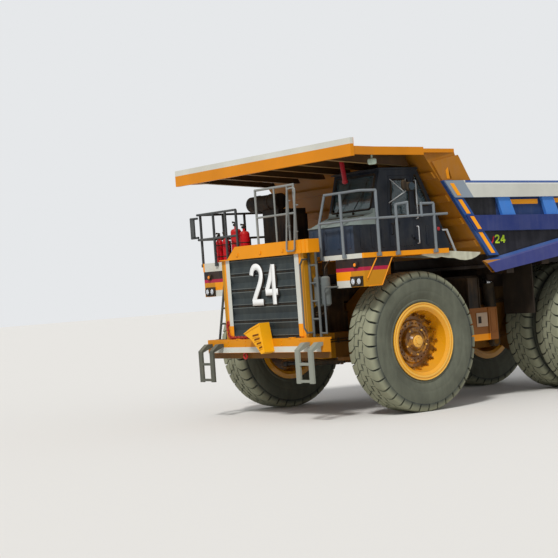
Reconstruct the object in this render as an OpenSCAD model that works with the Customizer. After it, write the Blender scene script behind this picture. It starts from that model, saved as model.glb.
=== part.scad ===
// Rigid mining dump truck, parked with its body down.
// Millimetres, +Z up, the truck faces -Y and its cab is on +X.
// Every module is drawn with the front axle at y = 0, and the last lines move it to the middle.

/* [Overall] */
// Distance between the front and rear axles
wheelbase = 4950; // [4850:10:5050]
// From the front axle to the front of the hanging ladders
front_overhang = 2270; // [2250:10:2300]
// From the rear axle to the tail of the body
rear_overhang = 3140; // [3000:10:3250]
// Between the middles of the front tyres
front_track = 4325; // [4290:5:4360]
// Between the middles of each pair of rear tyres
rear_track = 3500; // [3490:5:3540]

/* [Wheels] */
// Outside diameter of a tyre, over its lugs
tyre_d = 2690; // [2640:10:2700]
// Width of a tyre over its shoulders
tyre_w = 740; // [700:10:750]
// Diameter of the rim flange
flange_d = 1480; // [1440:10:1500]
// Diameter on which the tyre bead sits
bead_d = 1245; // [1230:5:1260]
// Distance between the middles of two twin tyres
twin_pitch = 890; // [870:10:900]
// Radius of the front wheel spindle
spindle_r = 140; // [120:5:160]
// Radius of the rear axle tube that carries the twin wheels
rear_tube_r = 200; // [180:5:215]
// Gap between a turning bore and its shaft
run_gap = 0.1; // [0.05:0.01:0.15]

/* [Frame] */
// Distance from the middle to the middle of a frame rail
rail_x = 580; // [570:5:590]
// Width of a frame rail
rail_w = 240; // [220:5:250]
// Height of the flat rear top of the rails
rail_top = 2250; // [2230:5:2270]
// Distance from the middle to the steering axis
kingpin_x = 1400; // [1380:5:1410]
// Height of the steering links
link_z = 950; // [940:5:955]
// Radius of the lower neck of a steering knuckle
neck_r = 110; // [100:5:115]
// Length of the arm from the steering axis to the tie rod
tie_arm = 450; // [445:1:455]
// Distance of the body hinge behind the front axle
hinge_y = 6100; // [6080:5:6120]
// Height of the body hinge
hinge_z = 2050; // [2040:5:2060]
// Radius of the body hinge pin
hinge_r = 80; // [70:5:90]

/* [Hoists] */
// Distance from the middle to a hoist cylinder
hoist_x = 860; // [855:1:865]
// Distance of the lower hoist pin behind the front axle
hoist_foot_y = 3400; // [3395:1:3405]
// Height of the lower hoist pin
hoist_foot_z = 1100; // [1095:1:1105]
// Distance of the upper hoist pin behind the front axle
hoist_head_y = 3300; // [3295:1:3305]
// Height of the upper hoist pin
hoist_head_z = 2500; // [2495:1:2505]
// Outside radius of a hoist barrel
hoist_r = 125; // [115:1:128]

/* [Body] */
// Outside width of the body over its rails
body_w = 5530; // [5500:10:5560]
// Outside width of the canopy
canopy_w = 6000; // [5960:10:6040]
// Front edge of the canopy before the front axle
canopy_front = 1860; // [1850:5:1880]
// Rise of the canopy's front beam above the top of the front wall
canopy_rise = 257; // [250:1:265]
// Height of the front beam of the canopy
canopy_beam_h = 332; // [320:1:340]
// From the knee of the canopy's ribs back to the head of the front wall
canopy_knee = 158.83; // [150:0.01:170]
// Thickness of the floor plate
floor_t = 60; // [50:5:80]
// Thickness of a side plate
side_t = 50; // [40:5:60]

/* [Front] */
// Half the width of the deck
deck_half = 2720; // [2700:5:2740]
// Height of the left deck
deck_z = 3090; // [3080:5:3100]
// Thickness of a deck plate with its edge beam
deck_t = 90; // [70:5:100]
// Front edge of the side decks before the front axle
deck_front = 1500; // [1490:5:1520]
// Face of the grille before the front axle
grille_front = 1900; // [1890:5:1910]
// Half the width of the grille
grille_half = 1237; // [1225:1:1245]
// Number of louvre bands in the grille
louvres = 5; // [4:1:6]
// Face of the bumper before the front axle
bumper_front = 1990; // [1980:5:2000]
// Half the width of the bumper
bumper_half = 1984; // [1970:1:2000]
// Distance from the middle to a tow pin bore
tow_x = 900; // [850:10:950]
// Radius of a tow pin bore
tow_r = 40; // [30:1:42]
// Radius of a handrail tube
rail_tube_r = 24; // [20:1:26]

/* [Cab] */
// Inner side of the cab
cab_x0 = 930; // [900:10:960]
// Outer side of the cab
cab_x1 = 2300; // [2280:5:2310]
// Thickness of a cab wall
cab_t = 50; // [40:5:60]

/* [Hidden] */
$fn = 48;

overall_len = front_overhang + wheelbase + rear_overhang;
axle_y = front_overhang - overall_len / 2;
axle_z = tyre_d / 2;
rear_y = wheelbase;
tail_y = rear_y + rear_overhang;
wheel_x = front_track / 2;
rail_out = rail_x + rail_w / 2;
rail_in = rail_x - rail_w / 2;
seat_gap = 0.3;
right_z = deck_z + 90;

yellow = "#F39A0B";
frame_brown = "#8A6A2A";
white = "#D8DAD8";
grille_grey = "#3E4544";
cab_navy = "#232A38";
body_blue = "#3C3F8F";
gold = "#E0A020";
rubber = "#5B6058";
steel = "#9A9C9E";
dark = "#1C1D1E";
glass = "#31404A";
red = "#B01822";
dust = "#9C937F";

// Children drawn in y, z and carried across from x0 to x1.
module across(x0, x1) translate([x0, 0, 0]) rotate([90, 0, 90]) linear_extrude(x1 - x0) children();
// Children drawn in x, z and carried back from y0 to y1.
module back(y0, y1) translate([0, y1, 0]) rotate([90, 0, 0]) linear_extrude(y1 - y0) children();
// A block between two opposite corners.
module block(a, b) translate(a) cube(b - a);
// The same thing on the left and mirrored on the right.
module both() { children(); mirror([1, 0, 0]) children(); }
// The left piece, mirrored when the right one is wanted.
module hand(left) { if (left) children(); else mirror([1, 0, 0]) children(); }
// A round bar between two points.
module bar(a, b, r) {
    d = b - a;
    translate(a) rotate([0, acos(d[2] / norm(d)), atan2(d[1], d[0])]) cylinder(h = norm(d), r = r);
}
// A tube through a list of points, with a ball at each bend.
module pipe(points, r) {
    for (i = [0:len(points) - 2]) bar(points[i], points[i + 1], r);
    if (len(points) > 2) for (i = [1:len(points) - 2]) translate(points[i]) sphere(r = r + 2);
}

// Frame.

module frame_rail() {
    // Side outline of a rail: y, z
    across(rail_in, rail_out) polygon([
        [-1850, 1250], [-1000, 1100], [2400, 1100], [2700, 980], [hoist_foot_y + 150, 980],
        [4000, 1800], [5900, 1800], [hinge_y + 250, 1900], [hinge_y + 250, hinge_z],
        [hinge_y + 142, hinge_z + 128], [hinge_y + 104, hinge_z + 160], [hinge_y + 60, hinge_z + 184],
        [hinge_y, rail_top], [3200, rail_top], [1700, 2050], [900, 1600], [-1850, 1600]]);
}

module strut_tower() {
    // The arm that carries a front strut: x, z
    back(-200, 200) polygon([
        [rail_in, 1500], [rail_out + 100, 1500], [kingpin_x - 180, 2150],
        [kingpin_x + 150, 2150], [kingpin_x + 150, 2650], [kingpin_x - 180, 2650],
        [rail_in, 2150]]);
}

module chassis_frame() color(frame_brown) {
    difference() {
        union() {
            both() {
                frame_rail();
                strut_tower();
                // Pin of the body hinge and pin of the hoist foot
                translate([rail_out - 20, hinge_y, hinge_z]) rotate([0, 90, 0])
                    cylinder(h = 150, r = hinge_r);
                translate([rail_out - 20, hoist_foot_y, hoist_foot_z]) rotate([0, 90, 0])
                    cylinder(h = hoist_x + 85 - rail_out, r = 60);
                // Pin of the steering barrel, under the front cross member
                translate([350, 200, link_z - 60]) cylinder(h = 200, r = 35);
                // Upper end of the rear strut
                block([rail_out - 20, rear_y + 450, 2050], [rail_out + 210, rear_y + 650, 2150]);
            }
            // Cross members: y from, y to, z from, z to
            for (m = [[-1850, -1650, 1290, 1560], [60, 340, link_z + 90, 1330],
                      [2150, 2350, 1650, 1900], [3700, 3900, 1850, 2200],
                      [hinge_y - 150, hinge_y + 150, 1920, 2140]])
                block([-rail_x, m[0], m[2]], [rail_x, m[1], m[3]]);
            // Beam that joins the two strut towers
            block([-rail_x, -150, 2000], [rail_x, 150, 2150]);
        }
        // Seats of the strut tops
        both() translate([kingpin_x, 0, 2100]) cylinder(h = 600, r = 120);
    }
}

module front_bumper() color(yellow) {
    top_z = 1581;
    difference() {
        // Side outline of the bumper: y, z
        across(-bumper_half, bumper_half) polygon([
            [-bumper_front, 1311], [-bumper_front, top_z], [-1850 - seat_gap, top_z], [-1850 - seat_gap, 1190],
            [-1875, 1190], [-1875, 1311]]);
        // Bores for the tow pins
        both() translate([tow_x, -1930, 1100]) cylinder(h = 600, r = tow_r);
    }
    both() {
        // Step plates beside the grille
        block([grille_half + 200, -1851, 1540], [bumper_half - 60, -1775, 1580]);
    }
}

module power_train() color(dark) {
    // Engine, fan side to flywheel side
    block([-rail_in + 60, -1350, 1250], [rail_in - 60, 0 - 220, 2550]);
    block([-rail_in + 60, -220, 1400], [rail_in - 60, 900, 1990]);
    block([-rail_in + 60, -221, 2200], [rail_in - 60, 900, 2550]);
    // Feet on the front cross member
    both() block([150, 100, 1330 + seat_gap], [350, 300, 1401]);
    // Transmission and its shafts
    bar([0, 890, 1500], [0, 1300, 1480], 90);
    block([-300, 1290, 1150], [300, 2150 - seat_gap, 1900]);
    bar([0, 2130, 1480], [0, rear_y - 1156, 1370], 90);
}

// Front.

module grille() color(grille_grey) {
    z0 = 1607;
    band = (3180 - z0) / louvres;
    // Folded louvre bands: y, z
    across(-grille_half, grille_half) polygon(concat(
        [for (i = [0:louvres - 1], p = [[-30, 0], [-55, 0.12], [-20, 0.5], [-55, 0.9], [-30, 1]])
            [p[0] - grille_front + 55, z0 + (i + p[1]) * band]],
        [[grille_back, 3180], [grille_back, z0]]));
    // Sill on the bumper
    block([-grille_half, -1880, 1581 + seat_gap], [grille_half, -1851, z0 + 1]);
    // Upright strips beside the louvres
    both() block([grille_half - 130, -grille_front - 10, z0], [grille_half, -1800, 3180]);
}
grille_back = -1640;

module hood() color(yellow) {
    // Band above the grille: x, z
    back(-1960, -1700) polygon([
        [-1397, 3184], [-1397, 3200], [-1100, 3200], [-800, 3440], [1650, 3440], [1650, 3180 + seat_gap],
        [-1397, 3180 + seat_gap]]);
    // Top plate over the radiator and the engine
    block([-1000, -1700, 3350], [440, -250, 3440]);
    both() {
        // Columns beside the grille
        across(grille_half + seat_gap, grille_half + 160) polygon([
            [-grille_front, 1581 + seat_gap], [-1775, 1581 + seat_gap], [-1775, 2100], [-1640, 2200],
            [-1640, 3185], [-grille_front, 3185]]);
    }
    // Side sheets of the engine bay, above the wheels
    block([-1000, grille_back + seat_gap, 2750], [-940, -250, 3351]);
    block([380, grille_back + seat_gap, 2750], [440, -250, 3351]);
}

module fender_panels() color(yellow) both() {
    back(-deck_front, -deck_front + 50) polygon([
        [1860, 2470], [2700, 2470], [2700, 3000 - seat_gap], [1860, 3000 - seat_gap]]);
    // Side plate with a slanted rear edge: y, z
    across(2650, 2700) polygon([[-deck_front + 50, 2470], [-1100, 2470], [-800, 3000 - seat_gap],
        [-deck_front + 50, 3000 - seat_gap]]);
    block([1860, -deck_front + 50, 2470], [2650, -1320, 2500]);
}

module headlamps() color(white) both() {
    for (x = [2385, 2560]) translate([x, -deck_front - 0.3, 2575]) rotate([90, 0, 0])
        cylinder(h = 60, r = 75);
    translate([2470, -deck_front - 0.3, 2880]) rotate([90, 0, 0]) cylinder(h = 70, r = 55);
    // Boxes that the lamps sit in
    block([2292, -deck_front - 22, 2482], [2653, -deck_front - seat_gap, 2668]);
    block([2405, -deck_front - 14, 2820], [2535, -deck_front - seat_gap, 2940]);
}

module deck(x0, x1, z) {
    // Plate with edge beams, ribs under it and a post on each strut tower
    low = deck_z - deck_t;
    block([x0, -deck_front, z - 30], [x1, 600, z]);
    block([x0, -deck_front, low], [x1, -deck_front + 60, z]);
    block([x1 - 60, -deck_front, low], [x1, 600, z]);
    block([x0, 540, low], [x1, 600, z]);
    block([kingpin_x - 150, -deck_front, low], [kingpin_x + 120, 600, z]);
    block([kingpin_x - 120, -120, 2650 + seat_gap], [kingpin_x + 120, 120, z]);
}

module left_deck() color(yellow) deck(440 + seat_gap, deck_half, deck_z);
module right_deck() color(yellow) mirror([1, 0, 0]) deck(1001, deck_half, right_z);

// Upright outside the edge of a deck, with the clamp that holds it
module side_post(y, z, top) {
    bar([post_x, y, z - 60], [post_x, y, top], post_r);
    block([deck_half + seat_gap, y - 45, z - 75], [post_x + 10, y + 45, z - 10]);
}
module front_post(x, z, top) {
    bar([x, -post_y, z - 60], [x, -post_y, top], post_r);
    block([x - 45, -post_y - 10, z - 75], [x + 45, -deck_front - seat_gap, z - 10]);
}
post_r = rail_tube_r + 4;
post_x = deck_half + 34;
post_y = deck_front + 34;

module handrails() color(steel) {
    r = rail_tube_r;
    mid = deck_z + 620;
    // Left deck
    front_post(1480, deck_z, mid);
    front_post(2170, deck_z, 4240);
    side_post(-1150, deck_z, 4240);
    side_post(-690, deck_z, 3960);
    side_post(250, deck_z, 3960);
    pipe([[1480, -post_y, mid], [post_x, -post_y, mid], [post_x, 590, mid + 40]], r);
    pipe([[1480, -post_y, mid], [1700, -post_y, 4240], [post_x, -post_y, 4240], [post_x, -1150, 4240]], r);
    pipe([[post_x, -690, 3960], [post_x, -400, 3990], [post_x, -400, mid]], r);
    pipe([[post_x, 250, 3960], [post_x, -60, 3960], [post_x, -60, mid]], r);
    // Centre rail on the hood
    pipe([[-40, -1900, 3440 + seat_gap], [-40, -1900, 4500], [1230, -1900, 4500],
        [1230, -1900, 3440 + seat_gap]], r);
    bar([-40, -1900, 3960], [1230, -1900, 3960], r - 3);
    for (x = [590, 1020]) bar([x, -1900, 3440 + seat_gap], [x, -1900, 4500], r - 5);
    // Right deck
    mirror([1, 0, 0]) {
        for (x = [1300, 1700, 2150]) front_post(x, right_z, 4220);
        for (y = [-1460, -880, -320, 500]) side_post(y, right_z, 4220);
        pipe([[1300, -post_y, 4220], [post_x, -post_y, 4220], [post_x, 500, 4220]], r);
        pipe([[1300, -post_y, 3690], [post_x, -post_y, 3690], [post_x, 500, 3690]], r);
        // Frame of the mirror
        pipe([[post_x, -post_y, 4150], [2930, -1590, 4150], [2930, -1590, 3740], [post_x, -post_y, 3740]], r);
        block([2800, -1606, 3760], [2920, -1576, 4130]);
    }
}

// Stiles and rungs from the bumper up; foot and head as y, z
module upper_ladder(x0, x1, foot, head) {
    for (x = [x0, x1]) bar([x, foot[0], foot[1]], [x, head[0], head[1]], 25);
    for (i = [1:4]) {
        p = foot + (head - foot) * i / 4.7;
        bar([x0, p[0], p[1]], [x1, p[0], p[1]], 20);
    }
}

module lower_ladder() {
    // Lower ladder hung from the bumper
    lx0 = 1400;
    lx1 = 1940;
    for (x = [lx0, lx1 - 130]) {
        across(x, x + 130) polygon([
            [-bumper_front - seat_gap, 1500], [-bumper_front - 120, 1500], [-front_overhang, 1370],
            [-front_overhang, 740], [-front_overhang + 40, 740], [-front_overhang + 40, 1340],
            [-bumper_front - seat_gap, 1440]]);
    }
    for (z = [760, 1080]) block([lx0 + 120, -front_overhang, z], [lx1 - 120, -front_overhang + 40, z + 50]);
}

module ladders() color(steel) {
    both() lower_ladder();
    // The left one stands upright under the hood, the right one leans on the deck
    upper_ladder(1430, 1650, [-1800, 1580 + seat_gap], [-1800, 3180]);
    // Guard loops of the left ladder, in front of it and out to the fender panel
    pipe([[1430, -1825 - seat_gap, 3060], [1430, -1960, 3060], [1430, -2020, 2960], [1430, -2020, 1770],
        [1430, -1960, 1670], [1430, -1825 - seat_gap, 1670]], 18);
    pipe([[1675 + seat_gap, -1800, 1650], [1830, -1800, 1650], [1830, -1800, 2430], [1880, -1800, 2500],
        [1880, -deck_front - seat_gap, 2500]], 18);
    mirror([1, 0, 0]) upper_ladder(1555, 1815, [-1800, 1585], [-deck_front - 25.8, deck_z - 20]);
}

module air_tanks() color(steel) {
    // Bottles with domed ends: radius, height
    for (x = [1520, 1740]) translate([x, -1680, 2150]) rotate_extrude() polygon([
        [0, 0], [60, 8], [90, 40], [90, 530], [60, 562], [0, 570]]);
    // Shelves on the hood's column
    for (z = [2300, 2560]) block([grille_half + 160 + seat_gap, -1710, z], [1740, -1650, z + 30]);
}

module air_cleaner() color(dark) {
    // Intake canister across the deck: radius, length
    translate([-2210, -500, 4360]) rotate([0, 90, 0]) rotate_extrude() polygon([
        [0, 0], [120, 15], [165, 50], [165, 300], [178, 310], [178, 350], [165, 360], [165, 760],
        [178, 770], [178, 810], [165, 820], [165, 1100], [0, 1100]]);
    // Housings behind the hood
    block([-1720, -560, right_z + seat_gap], [-1150, 150, 4200]);
    block([-1000, -700, 3440 + seat_gap], [-560, -260, 4050]);
}

module extinguishers() color(red) {
    // Bottles on the right deck: x, y, radius, top
    for (b = [[-2280, -1330, 75, 3660], [-2030, -1330, 75, 3660], [-1640, -1330, 110, 3850],
              [-1340, -1330, 110, 3780]])
        translate([b[0], b[1], right_z + seat_gap]) rotate_extrude() polygon([
            [0, 0], [b[2], 0], [b[2], b[3] - right_z - 60], [b[2] * 0.8, b[3] - right_z - 20],
            [28, b[3] - right_z], [28, b[3] - right_z + 50], [0, b[3] - right_z + 50]]);
}

module wheel_chock() color(yellow) {
    // Wedge hung on the bumper: x, z
    back(-2230, -bumper_front - seat_gap) polygon([
        [-310, 1705], [-90, 1800], [250, 1905], [370, 1335], [250, 1300], [110, 1430], [-70, 1590]]);
}

module side_tanks() color(frame_brown) {
    block([rail_out + seat_gap, 1800, 1200], [tank_out, 2580, 1860]);
    // Guard above the front end of the left tank
    block([rail_out + seat_gap, 1800, 1859], [tank_out, 2120, 2480]);
    mirror([1, 0, 0]) block([rail_out + seat_gap, 1800, 1000], [tank_out, 2950, 2030]);
}
tank_out = 1850;

module fender_sheets() color(dust) both() {
    // Sheet behind the deck, and its wavy lip under the deck's edge: y, z
    across(1001, sheet_out) polygon([
        [600 + seat_gap, 3005], [1440, 2945], [1440, 2975], [600 + seat_gap, 3035]]);
    across(sheet_out - 25, sheet_out) polygon([
        [-60, deck_z - deck_t - seat_gap], [-50, 2978], [120, 2938], [300, 2910], [430, 2932], [600, 2900],
        [760, 2892], [900, 2852], [1060, 2836], [1200, 2850], [1330, 2888], [1440, 2945], [1440, 2975],
        [600 + seat_gap, 3035], [600 + seat_gap, deck_z - deck_t - seat_gap]]);
}
sheet_out = deck_half - 30;

// Cab.

// Side outline of the cab: y, z
cab_side = [[-1380, deck_z + seat_gap], [-1380, 3640], [-870, 3850], [-640, 4670], [280, 4670],
    [430, 4380], [1060, deck_z + seat_gap]];
// Openings of the door, the quarter window and the right window: y, z
door_hole = [[-500, 3180], [-500, 3900], [-445, 4540], [120, 4540], [120, 3180]];
quarter_hole = [[200, 3950], [200, 4540], [250, 4540], [540, 3950]];
right_hole = [[-700, 3950], [-560, 4540], [250, 4540], [540, 3950]];
door_hinge = [cab_x1 + 22, 132];

module cab_shell() color(cab_navy) {
    difference() {
        across(cab_x0, cab_x1) polygon(cab_side);
        // Room inside
        across(cab_x0 + cab_t, cab_x1 - cab_t) offset(delta = -cab_t) polygon(cab_side);
        // Windscreen
        across(cab_x0 + 90, cab_x1 - 90) polygon([[-900, 3920], [-740, 3920], [-555, 4580], [-715, 4580]]);
        // Left and right sides
        across(cab_x1 - 100, cab_x1 + 10) polygon(door_hole);
        across(cab_x1 - 100, cab_x1 + 10) polygon(quarter_hole);
        across(cab_x0 - 10, cab_x0 + 100) polygon(right_hole);
    }
    // Hinge brackets with their pins
    for (z = [3300, 4300]) {
        block([cab_x1 - 1, 121, z], [door_hinge[0] + 12, 170, z + 40]);
        translate([door_hinge[0], door_hinge[1], z]) cylinder(h = 100, r = 10);
    }
}

module cab_glass() color(glass) {
    across(cab_x0 + 90 + seat_gap, cab_x1 - 90 - seat_gap) polygon([
        [-833, 3920 + seat_gap], [-821, 3920 + seat_gap], [-636, 4580 - seat_gap], [-648, 4580 - seat_gap]]);
    across(cab_x1 - 31, cab_x1 - 19) offset(delta = -seat_gap) polygon(quarter_hole);
    across(cab_x0 + 19, cab_x0 + 31) offset(delta = -seat_gap) polygon(right_hole);
}

module cab_seat() color(dark) {
    // Seat, its base and the steering column
    x = (cab_x0 + cab_x1) / 2;
    floor_z = deck_z + cab_t + 2 * seat_gap;
    block([x - 200, -330, floor_z], [x + 200, 70, 3500]);
    block([x - 260, -390, 3490], [x + 260, 130, 3620]);
    block([x - 250, 40, 3610], [x + 250, 150, 4300]);
    block([x - 70, -870, floor_z], [x + 70, -730, floor_z + 80]);
    bar([x, -800, floor_z + 60], [x, -575, 3730], 45);
    translate([x, -570, 3720]) rotate([-30, 0, 0]) cylinder(h = 40, r = 190);
}

door_edge = [[-495, 3185], [-495, 3900], [-440, 4535], [115, 4535], [115, 3185]];
door_pane = [[-420, 3780], [-420, 3900], [-370, 4460], [40, 4460], [40, 3780]];
module cab_door() color(cab_navy) {
    difference() {
        across(cab_x1 - 45, cab_x1) polygon(door_edge);
        across(cab_x1 - 100, cab_x1 + 100) polygon(door_pane);
    }
    // Hinge eyes on the pins
    for (z = [3341, 4341]) difference() {
        union() {
            translate([door_hinge[0], door_hinge[1], z]) cylinder(h = 50, r = 20);
            block([cab_x1 - 5, 60, z], [door_hinge[0], door_hinge[1], z + 50]);
        }
        translate([door_hinge[0], door_hinge[1], z - 10]) cylinder(h = 80, r = 10 + run_gap);
        block([cab_x1 - 100, 115, z - 10], [cab_x1 + 0.5, 200, z + 60]);
    }
}
module door_glass() color(glass)
    across(cab_x1 - 30, cab_x1 - 18) offset(delta = -seat_gap) polygon(door_pane);

// Axles.

module front_suspension() color(frame_brown) both() {
    // Strut barrel under the tower and the lower arm with its ring
    translate([kingpin_x, 0, 1750]) cylinder(h = 399.7, r = 170);
    difference() {
        union() {
            translate([kingpin_x, 0, 1060]) cylinder(h = 90, r = neck_r + 70);
            for (s = [-1, 1]) hull() {
                translate([kingpin_x - 60, s * 60, 1062]) cylinder(h = 38 - seat_gap, r = 60, $fn = 24);
                block([rail_in + 40, s * 500 - 60, 1030], [rail_out, s * 500 + 60, 1100 - seat_gap]);
            }
        }
        translate([kingpin_x, 0, 1000]) cylinder(h = 200, r = neck_r + run_gap);
    }
}

module knuckle() color(frame_brown) {
    difference() {
        union() {
            translate([kingpin_x, 0, 860]) cylinder(h = 300, r = 75);
            translate([kingpin_x, 0, 1045]) cylinder(h = 705 - seat_gap, r = neck_r);
            translate([kingpin_x, 0, 1155]) cylinder(h = 590, r = 200);
            translate([kingpin_x, 0, axle_z]) rotate([0, 90, 0]) cylinder(h = 700, r = spindle_r);
            // Rear arm to the tie rod
            hull() {
                translate([kingpin_x, 0, link_z + 50]) cylinder(h = 40, r = 90, $fn = 24);
                translate([kingpin_x, tie_arm, link_z + 50]) cylinder(h = 40, r = 70, $fn = 24);
            }
            // Front arm to the steering cylinder, a plate above and below its eye
            for (z = [link_z - 90, link_z + 60]) hull() {
                translate([kingpin_x, 0, z]) cylinder(h = 30, r = 100, $fn = 24);
                translate([kingpin_x + 100, -380, z]) cylinder(h = 30, r = 80, $fn = 24);
            }
        }
    }
    // Pin down into the tie rod
    translate([kingpin_x, tie_arm, link_z - 60]) cylinder(h = 150, r = 30);
}
module left_knuckle() hand(true) knuckle();
module right_knuckle() hand(false) knuckle();

module tie_rod() color(steel) difference() {
    union() {
        bar([-kingpin_x + 60, tie_arm, link_z], [kingpin_x - 60, tie_arm, link_z], 45);
        for (s = [-1, 1]) translate([s * kingpin_x, tie_arm, link_z - 45]) cylinder(h = 90, r = 75);
    }
    for (s = [-1, 1]) translate([s * kingpin_x, tie_arm, link_z - 100]) cylinder(h = 200, r = 30 + run_gap);
}

steer_foot = [350, 200, link_z];
steer_head = [kingpin_x + 100, -380, link_z];
steer_dir = (steer_head - steer_foot) / norm(steer_head - steer_foot);
module steer_barrel() color(steel) difference() {
    union() {
        translate(steer_foot - [0, 0, 35]) cylinder(h = 70, r = 75);
        bar(steer_foot + steer_dir * 60, steer_foot + steer_dir * 820, 60);
    }
    translate(steer_foot - [0, 0, 60]) cylinder(h = 120, r = 35 + run_gap);
    bar(steer_foot + steer_dir * 200, steer_foot + steer_dir * 900, 36 + run_gap);
}
module steer_rod() color(steel) {
    bar(steer_foot + steer_dir * 540, steer_head - steer_dir * 50, 36);
    translate(steer_head - [0, 0, 35]) cylinder(h = 70, r = 65);
    translate(steer_head - [0, 0, 50]) cylinder(h = 100, r = 30);
}
module left_steer_barrel() hand(true) steer_barrel();
module right_steer_barrel() hand(false) steer_barrel();
module left_steer_rod() hand(true) steer_rod();
module right_steer_rod() hand(false) steer_rod();

// Wheels, drawn about the z axis with the outer side up.

// Shoulder grooves between the lugs of a tyre
lugs = 36;
groove_floor = tyre_d / 2 - 50;
lug_share = 0.82;

module tyre() color(rubber) intersection() {
    tyre_section();
    union() {
        // Outline with a lug at each step of the turn, carried across the tyre
        linear_extrude(tyre_w + 20, center = true) polygon([
            for (i = [0:lugs - 1], p = [[-0.5 * lug_share, 60], [0.5 * lug_share, 60],
                                        [0.5 * lug_share + 0.01, -50], [0.99 - 0.5 * lug_share, -50]])
                (tyre_d / 2 + p[1]) * [cos((i + p[0]) * 360 / lugs), sin((i + p[0]) * 360 / lugs)]]);
        // Middle of the tread, with no groove
        cylinder(h = 240, r = tyre_d / 2 + 60, center = true);
    }
}

module tyre_section() rotate_extrude($fn = 96) {
    w = tyre_w / 2;
    r = tyre_d / 2;
    b = bead_d / 2 + 1;
    // Section from bead to bead, outside and then inside: radius, width
    polygon([
        [b, 250], [b + 60, 330 - 60], [flange_d / 2 + 6, 300], [r - 400, w - 4], [r - 250, w],
        [r - 110, w - 18], [r - 30, w - 45], [r, w - 80],
        [r, -w + 80], [r - 30, -w + 45], [r - 110, -w + 18], [r - 250, -w], [r - 400, -w + 4],
        [flange_d / 2 + 6, -300], [b + 60, -270], [b, -250],
        [b, -170], [b + 100, -200], [r - 350, -w + 70], [r - 160, -w + 90], [r - 130, 0],
        [r - 160, w - 90], [r - 350, w - 70], [b + 100, 200], [b, 170]]);
}

module rim(dish, bore) color(gold) rotate_extrude($fn = 96) {
    f = flange_d / 2;
    b = bead_d / 2;
    // Section: radius, width. The disc stands at dish, measured from the middle.
    polygon([
        [b, 249], [b + 40, 300], [f, 306], [f, 330], [b + 20, 330], [b - 30, 290], [b - 60, dish + 40],
        [430, dish + 40], [400, dish + 70], [300, dish + 70], [280, dish + 130], [bore, dish + 130],
        [bore, dish - 120], [300, dish - 120], [330, dish], [b - 60, dish],
        [b - 40, -290], [b + 20, -330], [f, -330], [f, -306], [b + 40, -300], [b, -249]]);
}

module hub_cap(dish, bore) color(gold)
    translate([0, 0, dish + 130]) cylinder(h = 60, r1 = bore + 50, r2 = bore);

// A wheel's axis is turned to point outwards along x.
module on_axle(x, y) translate([x, y, axle_z]) rotate([0, 90, 0]) children();

module front_tyre() on_axle(wheel_x, 0) tyre();
module front_rim() on_axle(wheel_x, 0) {
    rim(-40, spindle_r + run_gap);
    hub_cap(-40, spindle_r);
}
module left_front_tyre() hand(true) front_tyre();
module right_front_tyre() hand(false) front_tyre();
module left_front_rim() hand(true) front_rim();
module right_front_rim() hand(false) front_rim();

module rear_tyres() for (s = [-1, 1]) on_axle(rear_track / 2 + s * twin_pitch / 2, rear_y) tyre();
module rear_rims() {
    on_axle(rear_track / 2 + twin_pitch / 2, rear_y) {
        rim(-140, rear_tube_r + run_gap);
        hub_cap(-140, rear_tube_r);
    }
    on_axle(rear_track / 2 - twin_pitch / 2, rear_y) rim(140, rear_tube_r + run_gap);
    // Spacer between the twin rims
    on_axle(rear_track / 2, rear_y) color(gold) rotate_extrude() polygon([
        [bead_d / 2 - 45, 318 - twin_pitch / 2], [bead_d / 2 + 25, 318 - twin_pitch / 2],
        [bead_d / 2 + 25, twin_pitch / 2 - 318], [bead_d / 2 - 45, twin_pitch / 2 - 318]]);
}
module left_rear_tyres() hand(true) rear_tyres();
module right_rear_tyres() hand(false) rear_tyres();
module left_rear_rims() hand(true) rear_rims();
module right_rear_rims() hand(false) rear_rims();

module rear_axle() color(frame_brown) {
    // Housing as one turned shape: radius, distance from the middle
    translate([0, rear_y, axle_z]) rotate([0, 90, 0]) rotate_extrude($fn = 64) polygon([
        [0, -2150], [rear_tube_r, -2150], [rear_tube_r, -930], [330, -900], [330, -560], [430, -400],
        [560, -150], [560, 150], [430, 400], [330, 560], [330, 900], [rear_tube_r, 930],
        [rear_tube_r, 2150], [0, 2150]]);
    // Nose and its link to the frame
    bar([0, rear_y - 1150, 1370], [0, rear_y - 300, axle_z], 210);
    both() {
        // Rear struts
        block([rail_out + 30, rear_y + 250, 1250], [rail_out + 200, rear_y + 640, 1400]);
        translate([rail_out + 115, rear_y + 550, 1399]) cylinder(h = 350, r = 65);
        translate([rail_out + 115, rear_y + 550, 1700]) cylinder(h = 349.7, r = 95);
    }
}

// Hoists.

hoist_foot = [hoist_x, hoist_foot_y, hoist_foot_z];
hoist_head = [hoist_x, hoist_head_y, hoist_head_z];
hoist_dir = (hoist_head - hoist_foot) / norm(hoist_head - hoist_foot);
hoist_len = norm(hoist_head - hoist_foot);
module hoist_barrel() color(steel) difference() {
    union() {
        translate(hoist_foot - [60, 0, 0]) rotate([0, 90, 0]) cylinder(h = 120, r = 110);
        bar(hoist_foot + hoist_dir * 60, hoist_foot + hoist_dir * (hoist_len - 160), hoist_r);
    }
    translate(hoist_foot - [100, 0, 0]) rotate([0, 90, 0]) cylinder(h = 200, r = 60 + run_gap);
    bar(hoist_foot + hoist_dir * 105, hoist_foot + hoist_dir * hoist_len, 100 + run_gap);
}
module hoist_stage() color(steel) difference() {
    bar(hoist_foot + hoist_dir * 106, hoist_foot + hoist_dir * (hoist_len - 130), 100);
    bar(hoist_foot + hoist_dir * 136, hoist_foot + hoist_dir * hoist_len, 75 + run_gap);
}
module hoist_rod() color(steel) {
    bar(hoist_foot + hoist_dir * 137, hoist_head - hoist_dir * 50, 75);
    translate(hoist_head - [60, 0, 0]) rotate([0, 90, 0]) cylinder(h = 120, r = 88);
}
module left_hoist_barrel() hand(true) hoist_barrel();
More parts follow.
